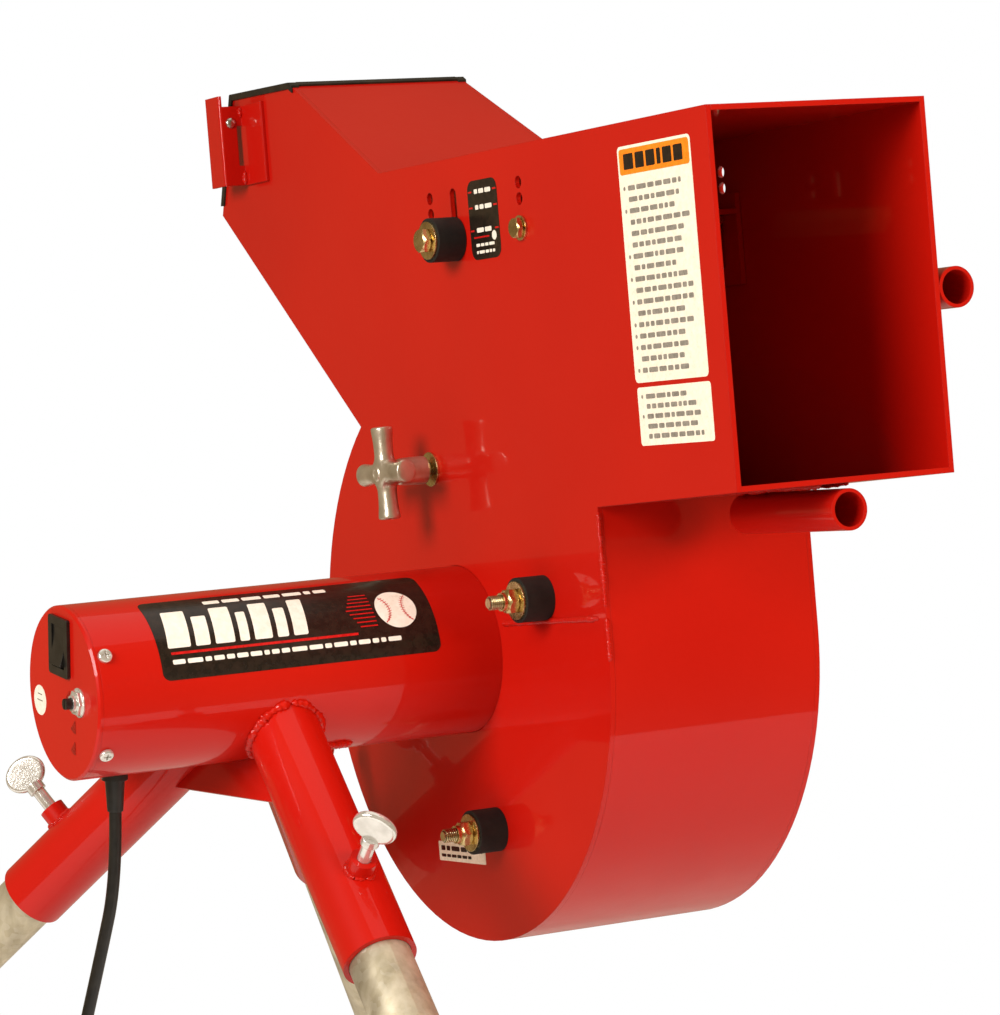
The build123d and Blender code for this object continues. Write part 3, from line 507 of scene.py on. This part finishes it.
def weld(bm, points, radius, seed=0.0):
    """A hand-laid weld bead: rippled, uneven, tapered at its ends, along points in metres."""
    step = radius * MM * 0.3
    samples = resample(points, step)
    last = len(samples) - 1
    rings = []
    for i, point in enumerate(samples):
        tangent = (samples[min(i + 1, last)] - samples[max(i - 1, 0)]).normalized()
        first, second = square_to(tangent)
        ripple = 1 + 0.13 * sin(i * 1.5) + 0.5 * noise.noise(point * 160 + Vector((seed, 0, 0)))
        ends = min(1.0, 0.25 + 0.25 * min(i, last - i))
        ring = circle(point, first, second, radius * MM * ripple * ends, 10)
        for k, corner in enumerate(ring):
            lump = noise.noise(corner * 900 + Vector((0, seed, 0)))
            ring[k] = corner + (corner - point) * 0.35 * lump
        rings.append(ring)
    loft(bm, rings)


# --- printed labels -------------------------------------------------------------------------------
# Artwork is drawn flat in millimetres, u to the right and v up, then laid on the plate or the tube.

def rows_of(u0, v0, u1, v1, radius=0.0, lean=0.0):
    """Rows (v, left, right) of a rectangle with rounded corners that may lean to the right."""
    rows = []
    steps = 5 if radius else 0
    for k in range(steps + 1):
        angle = pi / 2 * k / max(steps, 1)
        rows.append((v0 + radius * (1 - cos(angle)), radius * (1 - sin(angle)) if radius else 0.0))
    for v, inset in reversed(rows[:]):
        rows.append((v1 - (v - v0), inset))
    shaped = []
    for v, inset in rows:
        shift = lean * (v - v0)
        shaped.append((v, u0 + inset + shift, u1 - inset + shift))
    return shaped


def disc_rows(u, v, radius, count=14):
    rows = []
    for k in range(count + 1):
        angle = pi * k / count
        rows.append((v - radius * cos(angle), u - radius * sin(angle), u + radius * sin(angle)))
    return rows


def lay(bm, rows, place, lift, cell=4.0):
    """Lay an area on a surface as cells small enough to follow it."""
    fine = [rows[0]]
    for before, after in zip(rows, rows[1:]):
        count = max(1, int(abs(after[0] - before[0]) / cell + 0.999))
        for k in range(1, count + 1):
            t = k / count
            fine.append(tuple(a + (b - a) * t for a, b in zip(before, after)))
    lines = []
    for v, left, right in fine:
        lines.append((bm.verts.new(place(left, v, lift)), bm.verts.new(place(right, v, lift))))
    for low, high in zip(lines, lines[1:]):
        corners = [low[0], low[1], high[1], high[0]]
        if (low[1].co - low[0].co).length < 1e-6:
            corners.remove(low[1])
        if (high[1].co - high[0].co).length < 1e-6:
            corners.remove(high[1])
        bm.faces.new(corners)


def stroke(bm, points, width, place, lift):
    """A line of that width along (u, v) points."""
    last = len(points) - 1
    sides = []
    for i, (u, v) in enumerate(points):
        before = points[max(i - 1, 0)]
        after = points[min(i + 1, last)]
        du, dv = after[0] - before[0], after[1] - before[1]
        size = sqrt(du * du + dv * dv) or 1.0
        nu, nv = -dv / size * width / 2, du / size * width / 2
        sides.append((bm.verts.new(place(u - nu, v - nv, lift)),
                      bm.verts.new(place(u + nu, v + nv, lift))))
    for low, high in zip(sides, sides[1:]):
        bm.faces.new((low[0], high[0], high[1], low[1]))


def dashes(bm, u0, u1, v, height, place, lift, rng, ragged=0.0):
    """A row of blocks of uneven length, which stands for a printed line."""
    end = u1 - ragged * rng.random() * (u1 - u0)
    u = u0
    while u < end - height:
        long = min(height * rng.uniform(1.2, 3.8), end - u)
        lay(bm, rows_of(u, v - height / 2, u + long, v + height / 2, height * 0.28), place, lift)
        u += long + height * 0.55


def on_plate(y, z):
    """Artwork whose lower left corner is at (y, z) on the near plate."""
    def place(u, v, lift):
        return head(PLATE_X - lift, y - u, z + v)
    return place


def on_tube(x, angle):
    """Artwork centred at x along the housing and at an angle round it from +Y towards +Z."""
    def place(u, v, lift):
        at = radians(angle) - v / HOUSING_R
        radius = HOUSING_R + lift
        return base(x + u, radius * cos(at), radius * sin(at))
    return place


def on_cap(u, v, lift):
    return base(CAP_X - lift, -u, v)


FILM = 0.15
INK = 0.22
OVERPRINT = 0.28
TUBE_LABEL_AT = (-192.65, 134.3)
UPPER_LABEL_AT = (-221.8, 143.4)
LOWER_LABEL_AT = (-222.7, 109.9)
SCALE_LABEL_AT = (-52.6, 221.8)
SERIAL_STRIP_AT = (48.5, -125.5)


def label(name, rows, place, material, body, lift=FILM):
    bm = bmesh.new()
    lay(bm, rows, place, lift, 2.0)
    lay(bm, rows, place, 0.02, 2.0)
    bm.verts.ensure_lookup_table()
    bm.verts.index_update()
    half = len(bm.verts) // 2
    edges = [edge for edge in bm.edges if len(edge.link_faces) == 1]
    for edge in edges:
        a, b = sorted((edge.verts[0].index, edge.verts[1].index))
        if b < half:
            bm.faces.new((bm.verts[a], bm.verts[b], bm.verts[b + half], bm.verts[a + half]))
    bmesh.ops.recalc_face_normals(bm, faces=bm.faces)
    return finish_mesh(name, bm, material, body, smooth=False)


class Print:
    """One colour of a label's artwork."""

    def __init__(self, name, place, material, body, lift=INK):
        self.name = name
        self.place = place
        self.material = material
        self.body = body
        self.lift = lift
        self.bm = bmesh.new()

    def area(self, rows):
        lay(self.bm, rows, self.place, self.lift, 2.0)

    def line(self, points, width):
        stroke(self.bm, points, width, self.place, self.lift)

    def text_row(self, u0, u1, v, height, rng, ragged=0.0):
        dashes(self.bm, u0, u1, v, height, self.place, self.lift, rng, ragged)

    def done(self):
        return finish_mesh(self.name, self.bm, self.material, self.body, smooth=False)


def tube_label():
    """Wide black label round the housing: abstract blades, a red rule, speed lines and a ball."""
    rng = random.Random(5)
    place = on_tube(*TUBE_LABEL_AT)
    half_u, half_v = 86.0, 27.4
    label("tube_label", rows_of(-half_u, -half_v, half_u, half_v, 4.5), place, BLACK_INK, "base")

    white = Print("tube_label_white", place, WHITE, "base")
    white.text_row(-48, 30, 21.0, 3.2, rng)
    widths = (17, 12, 15, 9, 14, 10, 12)
    u = -80.0
    for number, width in enumerate(widths):
        drop = 0 if number % 2 == 0 else 5.5
        white.area(rows_of(u, -9.5, u + width - 3.2, 15.5 - drop, 1.0, lean=0.14))
        u += width
    white.text_row(-79, 62, -17.5, 2.6, rng)
    white.area(disc_rows(64.0, 1.0, 12.5, 24))
    white.done()

    red = Print("tube_label_red", place, RED_INK, "base", OVERPRINT)
    red.line([(-79, -12.6), (36, -12.6)], 1.5)
    for row in range(9):
        reach = 15 - abs(row - 4) * 1.4
        red.line([(48 - reach, 13 - 2.7 * row), (49.5, 13 - 2.7 * row)], 0.8)
    for side in (-1, 1):
        seam = []
        for k in range(13):
            angle = radians(-52 + 104 * k / 12)
            seam.append((64 + side * (15.2 - 11.0 * cos(angle)), 1 + 11.0 * sin(angle)))
        red.line(seam, 0.45)
        for u, v in seam[1:-1]:
            red.line([(u - side * 1.3, v + 0.5), (u + side * 1.3, v - 0.5)], 0.4)
    red.done()


def upper_plate_label():
    """Tall cream label with an orange head; its words are only rows of blocks."""
    rng = random.Random(11)
    width, height, header = 74.1, 125.7, 15.3
    place = on_plate(*UPPER_LABEL_AT)
    label("upper_label", rows_of(0, 0, width, height, 3.0), place, CREAM, "head")

    orange = Print("upper_label_orange", place, ORANGE, "head")
    orange.area(rows_of(1.6, height - header, width - 1.6, height - 1.6, 2.0))
    orange.done()

    ink = Print("upper_label_black", place, BLACK_INK, "head", OVERPRINT)
    middle = height - header / 2 - 0.8
    for left, right in ((6, 16), (18, 27), (29, 38), (40, 44), (46, 55), (57, 66)):
        ink.area(rows_of(left, middle - 4.2, right, middle + 4.2, 0.8))
    ink.done()

    grey = Print("upper_label_grey", place, GREY_INK, "head")
    starts = (0, 2, 6, 8, 10, 12, 13, 14, 16)
    for row in range(17):
        v = height - header - 7.2 - row * 6.05
        grey.text_row(8.5, width - 5, v, 2.7, rng, ragged=0.25)
        if row in starts:
            grey.area(disc_rows(4.8, v, 1.1, 8))
    grey.done()


def lower_plate_label():
    rng = random.Random(23)
    width, height = 74.2, 31.0
    place = on_plate(*LOWER_LABEL_AT)
    label("lower_label", rows_of(0, 0, width, height, 2.0), place, CREAM, "head")
    grey = Print("lower_label_grey", place, GREY_INK, "head")
    for row in range(5):
        v = height - 5.0 - row * 5.3
        grey.text_row(8.5, width - 4, v, 2.6, rng, ragged=0.3)
        if row in (0, 2):
            grey.area(disc_rows(4.6, v, 1.0, 8))
    grey.done()


def ball_size_label():
    """Black scale beside the guide slot, with three marks for the three pad heights."""
    rng = random.Random(31)
    width, height = 34.4, 44.9
    place = on_plate(*SCALE_LABEL_AT)
    label("scale_label", rows_of(0, 0, width, height, 6.0), place, BLACK_INK, "head")
    white = Print("scale_label_white", place, WHITE, "head")
    red = Print("scale_label_red", place, RED_INK, "head")
    for v in (38.6, 29.6, 16.6):
        red.line([(0.8, v), (5.0, v)], 1.0)
        red.line([(width - 5.0, v), (width - 0.8, v)], 1.0)
        white.text_row(8.0, width - 7.0, v, 2.6, rng)
    red.line([(4, 12.6), (22, 12.6)], 0.9)
    white.area(disc_rows(27.8, 12.6, 2.7, 10))
    for v in (8.2, 4.2):
        white.text_row(6.0, width - 7.0, v, 1.7, rng)
    white.done()
    red.done()


def small_stickers():
    """Serial strip under the lower bushing, the cap's round sticker and three dark red triangles painted
    flat on the cap.
    """
    rng = random.Random(41)
    place = on_plate(*SERIAL_STRIP_AT)
    label("serial_strip", rows_of(0, 0, 57, 11.5, 0.8), place, CREAM, "head")
    ink = Print("serial_strip_ink", place, BLACK_INK, "head")
    ink.text_row(3, 54, 7.6, 2.8, rng)
    ink.text_row(3, 40, 3.2, 1.8, rng)
    ink.done()

    label("cap_sticker", disc_rows(-32.8, -9.9, 8.5, 20), on_cap, WHITE, "base")
    grey = Print("cap_sticker_ink", on_cap, GREY_INK, "base")
    grey.line([(-35.8, -6.4), (-29.8, -6.4)], 0.7)
    grey.line([(-36.6, -9.9), (-29.0, -9.9)], 0.7)
    grey.done()
    # Three dark red arrow-shaped triangles painted flat on the end cap.
    marks = Print("cap_arrows", on_cap, CAP_TRIANGLE_RED, "base", FILM)
    for u, v in ((13.3, -16.3), (12.8, -28.3), (6.0, -1.0)):
        marks.area([(v - 3.6, u + 1.0, u + 3.4), (v - 1.8, u - 3.4, u + 3.4), (v + 3.8, u + 2.2, u + 3.0)])
    marks.done()


# --- welds and small metalwork --------------------------------------------------------------------

def cylinder_crossing(origin, axis, first, second, radius, other_radius):
    """Closed line on which a round tube from origin comes out of the housing."""
    points = []
    count = 48
    for i in range(count + 1):
        angle = 2 * pi * i / count
        rim = origin + (first * cos(angle) + second * sin(angle)) * radius * MM - AXLE
        a = axis.y ** 2 + axis.z ** 2
        b = 2 * (rim.y * axis.y + rim.z * axis.z)
        c = rim.y ** 2 + rim.z ** 2 - (other_radius * MM) ** 2
        along = (-b + sqrt(max(b * b - 4 * a * c, 0.0))) / (2 * a)
        points.append(AXLE + rim + axis * along)
    return points


ROOT_BEAD = 2.6
BOSS_BEAD = 1.5
SPUR_BEAD = 2.4
SPUR_ANGLE = radians(34)
DRUM_BEAD = 1.3
PLATE_BEAD = 1.5
TUBE_BEAD = 1.8
BRACKET_Y = 231.2
BRACKET_TACKS = ((334, 341), (292, 301))
SIDE_TUBE_Z = 180.3


def base_welds():
    """Beads round each socket's root and each clamp boss, and a spur along the housing."""
    bm = bmesh.new()
    for number, name in enumerate(LEG_NAMES):
        axis = leg_axis(name)
        upper = clamp_axis(name)
        side = axis.cross(upper)
        origin = base(TRIPOD_X, 0, 0)
        root = cylinder_crossing(origin, axis, upper, side, SOCKET_R + 0.4, HOUSING_R + 0.3)
        weld(bm, root, ROOT_BEAD, seed=number)
        boss = origin + axis * CLAMP_AT * MM
        ring = []
        for k in range(25):
            angle = 2 * pi * k / 24
            across_socket = BOSS_R * sin(angle)
            rise = sqrt(SOCKET_R ** 2 - across_socket ** 2)
            ring.append(boss + (axis * BOSS_R * cos(angle) + side * across_socket + upper * rise) * MM)
        weld(bm, ring, BOSS_BEAD, seed=7 + number)
    spur_y = -HOUSING_R * sin(SPUR_ANGLE)
    spur_z = -HOUSING_R * cos(SPUR_ANGLE)
    spur = [base(TRIPOD_X + 22 + 4 * k, spur_y, spur_z) for k in range(7)]
    weld(bm, spur, SPUR_BEAD, seed=19)
    return finish_mesh("base_welds", bm, WELD_RED, "base")


def head_welds():
    """Seam beads on the head's sheet metal."""
    bm = bmesh.new()
    edge = PLATE_X + 0.3
    drum_y = -DRUM_R + 0.2
    seam = [head(PLATE_X, -52, 14.8), head(PLATE_X, -110, 16.6), head(PLATE_X, -162, 17.8)]
    weld(bm, seam, PLATE_BEAD, 3)
    weld(bm, [head(edge, drum_y, 76), head(edge, drum_y, 24)], DRUM_BEAD, 5)
    weld(bm, [head(edge, drum_y, 18), head(edge, drum_y, -6)], DRUM_BEAD, 9)
    bracket_x = PLATE_X - 2.6
    for z0, z1 in BRACKET_TACKS:
        weld(bm, [head(bracket_x, BRACKET_Y, z0), head(bracket_x, BRACKET_Y, z1)], TUBE_BEAD, z0)
    low_z = FLOOR_FRONT_Z - 0.6
    for side in (-1, 1):
        x = side * 8.5
        low_tube = [head(x, MUZZLE_Y + 12, low_z), head(x, MUZZLE_Y + 96, low_z - 1.0)]
        weld(bm, low_tube, TUBE_BEAD, 11 + side)
        z = SIDE_TUBE_Z + side * 6.5
        weld(bm, [head(69.2, MUZZLE_Y + 14, z), head(69.2, MUZZLE_Y + 110, z)], TUBE_BEAD, 15 + side)
    return finish_mesh("head_welds", bm, WELD_RED, "head")


RIVET_X = -77.6
RIVET_Z = 331


def bracket_rivet():
    """Domed rivet through the feeder bracket's web."""
    bm = bmesh.new()
    turned(bm, head(RIVET_X, 231.4, RIVET_Z), -HEAD_BACK, (
        (0, 3.3), (0.5, 3.3), (1.1, 2.9), (1.6, 2.1), (1.9, 1.2), (2.0, 0.2)))
    turned(bm, head(RIVET_X, 233.2, RIVET_Z), HEAD_BACK, (
        (0, 3.0), (0.6, 3.0), (1.2, 2.0), (1.4, 0.2)))
    return finish_mesh("bracket_rivet", bm, BRIGHT, "head")


def pushed(bm, face, step, scale):
    """The end face after a face is drawn out by a step and scaled about its middle."""
    face = bmesh.ops.extrude_discrete_faces(bm, faces=[face])["faces"][0]
    middle = face.calc_center_median()
    for vert in face.verts:
        vert.co = middle + (vert.co - middle) * scale + step
    return face


KNOB_TURN = radians(-11)
KNOB_DEPTH = 6.5
KNOB_HUB = (12.0, 13.0, 13.0)
# Each draw-out of a face is (millimetres, scale)
KNOB_PRONG = ((5.0, 0.96), (8.9, 1.05), (5.6, 1.16), (1.2, 0.86))
KNOB_SHOULDER = ((2.0, 1.2), (1.0, 1.15))
KNOB_BOSS = ((0.1, 0.72), (0.9, 0.94), (0.1, 0.6), (-0.7, 0.9))


def knob():
    """Cast four-prong knob: flared prongs round a domed hub on a short shank."""
    pivot = Vector(JOINTS["pitch_knob_turn"]["pos_m"])
    low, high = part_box("pitch_knob")
    length = (high.x - low.x) / MM
    prong_x = low.x / MM + KNOB_DEPTH
    centre = Vector((prong_x * MM, pivot.y, pivot.z))
    turn = Matrix.Rotation(KNOB_TURN, 4, "X")
    bm = bmesh.new()
    bmesh.ops.create_cube(bm, size=1.0)
    for vert in bm.verts:
        vert.co = vert.co * Vector(KNOB_HUB)
    directions = (Vector((0, 1, 0)), Vector((0, -1, 0)), Vector((0, 0, 1)), Vector((0, 0, -1)))
    roots = [max(bm.faces, key=lambda f: f.normal.dot(direction)) for direction in directions]
    shank = max(bm.faces, key=lambda f: f.normal.x)
    boss = min(bm.faces, key=lambda f: f.normal.x)
    for direction, face in zip(directions, roots):
        for reach, scale in KNOB_PRONG:
            face = pushed(bm, face, direction * reach, scale)
    for reach, scale in (*KNOB_SHOULDER, (length - 19.0, 1.0), (1.0, 1.0)):
        shank = pushed(bm, shank, ACROSS * reach, scale)
    for reach, scale in KNOB_BOSS:
        boss = pushed(bm, boss, -ACROSS * reach, scale)
    for vert in bm.verts:
        vert.co = centre + (turn @ vert.co) * MM
    piece = finish_mesh("pitch_knob_casting", bm, CAST, "pitch_knob", subdivide=3)
    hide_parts("pitch_knob")
    return piece


def tyre():
    """Pneumatic wheel: ribbed crown, rounded shoulders, moulded rings on the sidewalls."""
    low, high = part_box("tyre")
    half = (high.x - low.x) / 2 / MM
    outer = (high.z - low.z) / 2 / MM
    bead_r = 98.2
    profile = [(-half + 6, bead_r), (-half + 3, bead_r + 4), (-half + 0.6, bead_r + 14)]
    for ring in range(3):
        r = bead_r + 18 + 7 * ring
        profile += [(-half + 0.5, r), (-half + 1.3, r + 1), (-half + 1.3, r + 2.4), (-half + 0.5, r + 3.4)]
    profile += [(-half + 1.4, outer - 9), (-half + 5, outer - 3.5), (-half + 9, outer - 1)]
    crown = [(-half + 12, outer - 0.4)]
    for rib in range(-3, 4):
        x = rib * 9.4
        crown += [(x - 1.7, outer), (x - 1.2, outer - 2.6), (x + 1.2, outer - 2.6), (x + 1.7, outer)]
    crown.append((half - 12, outer - 0.4))
    profile += crown + [(-x, r) for x, r in reversed(profile)]
    centre = Vector(((low.x + high.x) / 2, AXLE.y, AXLE.z))
    bm = bmesh.new()
    first, second = square_to(ACROSS)
    rings = [circle(centre + ACROSS * x * MM, first, second, r * MM, 128) for x, r in profile]
    loft(bm, rings + rings[:1], caps=False)
    bmesh.ops.remove_doubles(bm, verts=bm.verts, dist=1e-6)
    bmesh.ops.recalc_face_normals(bm, faces=bm.faces)
    piece = finish_mesh("ribbed_tyre", bm, TYRE_RUBBER, "wheel")
    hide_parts("tyre")
    return piece


# --- mains lead -----------------------------------------------------------------------------------

CORD_D = 0.007
CORD_RUN = [
    (-0.1194, 0.1883, 0.63),
    (-0.1194, 0.1883, 0.59),
    (-0.1284, 0.1923, 0.545),
    (-0.1374, 0.1973, 0.5),
    (-0.1464, 0.2013, 0.452),
    (-0.1534, 0.2023, 0.402),
    (-0.1584, 0.2023, 0.35),
    (-0.1614, 0.2003, 0.298),
    (-0.1634, 0.1963, 0.246),
    (-0.1644, 0.1903, 0.194),
    (-0.1644, 0.1823, 0.144),
    (-0.1634, 0.1723, 0.098),
    (-0.1614, 0.1563, 0.056),
    (-0.1584, 0.1303, 0.024),
    (-0.1544, 0.0923, 0.008),
    (-0.1484, 0.0483, 0.0038),
    (-0.1434, -0.0017, 0.0038),
    (-0.1424, -0.0377, 0.0038),
]
COIL_CENTRE = (-0.0974, -0.0577)
COIL_RADII = (0.045, 0.038, 0.031)
PER_TURN = 16
PLUG_CENTRE = Vector((-0.0482, -0.1130, 0.0092))
PLUG_TURN = radians(-14.5)
COIL_TO_PLUG = (COIL_CENTRE[0] + 0.0056, COIL_CENTRE[1] - 0.0453, 0.0104)


def eased(t):
    t = min(max(t, 0.0), 1.0)
    return t * t * (3 - 2 * t)


def coil_points():
    """Three turns on the floor winding inwards, then turns on top of them winding out again."""
    radii = COIL_RADII + COIL_RADII[::-1]
    points = []
    for step in range(1, 5 * PER_TURN + PER_TURN // 4 + 1):
        turn = step / PER_TURN
        number = int(turn)
        part = turn - number
        next_number = min(number + 1, len(radii) - 1)
        radius = radii[number] + (radii[next_number] - radii[number]) * eased((part - 0.75) / 0.25)
        radius /= cos(pi / PER_TURN)
        climb = eased((turn - 2.5) / 0.25)
        angle = pi + 2 * pi * turn
        points.append((
            COIL_CENTRE[0] + radius * cos(angle),
            COIL_CENTRE[1] + radius * sin(angle),
            0.0038 + CORD_D * climb,
        ))
    return points


def plug_axis():
    return Vector((cos(PLUG_TURN), sin(PLUG_TURN), 0))


def mains_plug():
    """Moulded three-pin plug with a ribbed neck and brass prongs, lying beside the coil."""
    axis = plug_axis()
    side = Vector((-axis.y, axis.x, 0))
    up = Vector((0, 0, 1))
    bm = bmesh.new()
    rings = []
    for along, wide, tall in (
        (-36, 4.3, 4.3), (-33.4, 4.6, 4.6), (-33, 5.4, 5.4), (-31, 5.5, 5.5), (-30.6, 4.9, 4.9),
        (-29, 5.1, 5.1), (-28.6, 6.0, 6.0), (-26.6, 6.1, 6.1), (-26.2, 5.4, 5.4), (-24, 5.7, 5.7),
        (-23.6, 6.7, 6.5), (-21.6, 6.9, 6.6), (-21.2, 6.2, 6.2), (-18.5, 7.0, 7.0),
        (-17.2, 9.8, 8.2), (-14, 10.6, 8.5), (-4, 10.2, 8.2), (4, 10.9, 8.6), (14, 11.7, 8.9),
        (17.2, 11.6, 8.8), (18, 10.6, 7.9),
    ):
        ring = []
        for k in range(28):
            angle = 2 * pi * k / 28
            power = 0.62 if along > -18 else 1.0
            u = abs(cos(angle)) ** power * (1 if cos(angle) > 0 else -1) * wide
            v = abs(sin(angle)) ** power * (1 if sin(angle) > 0 else -1) * tall
            ring.append(PLUG_CENTRE + (axis * along + side * u + up * v) * MM)
        rings.append(ring)
    loft(bm, rings)
    body = finish_mesh("plug_body", bm, BLACK_PLASTIC, "base")
    bm = bmesh.new()
    for offset in (-6.3, 6.3):
        rings = []
        for along, thick, tall in ((17.5, 0.75, 3.2), (34, 0.75, 3.2), (35.5, 0.6, 2.6), (36, 0.4, 2.0)):
            centre = PLUG_CENTRE + (axis * along + side * offset + up * 2) * MM
            corners = ((-1, -1), (1, -1), (1, 1), (-1, 1))
            rings.append([centre + (side * a * thick + up * b * tall) * MM for a, b in corners])
        loft(bm, rings)
    turned(bm, PLUG_CENTRE + (axis * 17.5 - up * 5) * MM, axis, (
        (0, 2.4), (15.5, 2.4), (17.4, 1.9), (18.3, 1.0), (18.5, 0.3)), 20)
    prongs = finish_mesh("plug_prongs", bm, BRASS, "base", smooth=False)
    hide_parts("cord_plug")
    return body, prongs


def mains_cord(plug_pieces):
    neck = PLUG_CENTRE - plug_axis() * 0.034
    points = CORD_RUN + coil_points() + [
        COIL_TO_PLUG,
        tuple(neck - plug_axis() * 0.003),
        tuple(neck),
    ]
    curve = bpy.data.curves.new("mains_cord", "CURVE")
    curve.dimensions = "3D"
    spline = curve.splines.new("NURBS")
    spline.points.add(len(points) - 1)
    for point, place in zip(spline.points, points):
        point.co = (*place, 1.0)
    spline.order_u = 3
    spline.use_endpoint_u = True
    curve.resolution_u = 12
    curve.bevel_depth = CORD_D / 2
    curve.bevel_resolution = 5
    curve.use_fill_caps = True
    curve.materials.append(CORD_PVC)
    cord = bpy.data.objects.new("mains_cord", curve)
    bpy.context.scene.collection.objects.link(cord)
    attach(cord, "base")
    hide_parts("cord", "cord_coil")
    return cord


# --- camera, light and floor ----------------------------------------------------------------------

CAMERA_FROM_AXLE = Vector((-1.1789, -2.0362, 0.4733))
CAMERA_LOOK = Vector((0.4806, 0.8611, -0.1658))
CAMERA_LENS = 144.56
SENSOR_WIDTH = 36.0


def add_camera():
    """Long lens, from the motor's side and a little above, looking past the muzzle."""
    camera = bpy.data.objects.new("camera", bpy.data.cameras.new("camera"))
    camera.location = AXLE + CAMERA_FROM_AXLE
    camera.rotation_euler = CAMERA_LOOK.to_track_quat("-Z", "Y").to_euler()
    camera.data.sensor_width = SENSOR_WIDTH
    camera.data.lens = CAMERA_LENS
    bpy.context.scene.collection.objects.link(camera)
    bpy.context.scene.camera = camera


def area_light(name, place, target, size, power):
    light = bpy.data.lights.new(name, "AREA")
    light.shape = "RECTANGLE"
    light.size, light.size_y = size
    light.energy = power
    lamp = bpy.data.objects.new(name, light)
    lamp.location = place
    lamp.rotation_euler = (Vector(target) - Vector(place)).to_track_quat("-Z", "Y").to_euler()
    bpy.context.scene.collection.objects.link(lamp)
    return lamp


FLOOR_HALF = 1.3


def studio():
    """White behind the machine; a dim warm room in its reflections, lit by three soft boxes."""
    world = bpy.data.worlds.new("studio")
    world.use_nodes = True
    tree = world.node_tree
    seen = tree.nodes["Background"]
    seen.inputs["Color"].default_value = (1, 1, 1, 1)
    room = tree.nodes.new("ShaderNodeBackground")
    room.inputs["Color"].default_value = (1.0, 0.72, 0.38, 1)
    room.inputs["Strength"].default_value = 0.3
    rays = tree.nodes.new("ShaderNodeLightPath")
    mix = tree.nodes.new("ShaderNodeMixShader")
    tree.links.new(rays.outputs["Is Camera Ray"], mix.inputs["Fac"])
    tree.links.new(room.outputs["Background"], mix.inputs[1])
    tree.links.new(seen.outputs["Background"], mix.inputs[2])
    tree.links.new(mix.outputs["Shader"], tree.nodes["World Output"].inputs["Surface"])
    bpy.context.scene.world = world
    bpy.context.scene.view_settings.view_transform = "Standard"
    area_light("key", (-1.9, -0.4, 1.7), (0.0, 0.1, 0.75), (1.0, 0.9), 50)
    area_light("top", (0.4, 0.5, 3.0), (0.1, 0.2, 0.7), (2.4, 2.4), 13)
    fill = area_light("front", (0.9, -2.1, 1.45), (0.0, -0.1, 0.6), (1.2, 0.6), 42)
    fill.visible_glossy = False

    bm = bmesh.new()
    half = FLOOR_HALF
    corners = ((-half, -half), (half, -half), (half, half), (-half, half))
    bm.faces.new([bm.verts.new((x, y, 0.0)) for x, y in corners])
    mesh = bpy.data.meshes.new("floor")
    bm.to_mesh(mesh)
    bm.free()
    mesh.materials.append(floor_material())
    floor = bpy.data.objects.new("floor", mesh)
    bpy.context.scene.collection.objects.link(floor)


add_camera()
mains_cord(mains_plug())
dress_nodes()
for leg, paddle_turn in PADDLE_TURNS.items():
    set_paddle(leg, paddle_turn)
knob()
tyre()
tube_label()
upper_plate_label()
lower_plate_label()
ball_size_label()
small_stickers()
base_welds()
head_welds()
bracket_rivet()
studio()
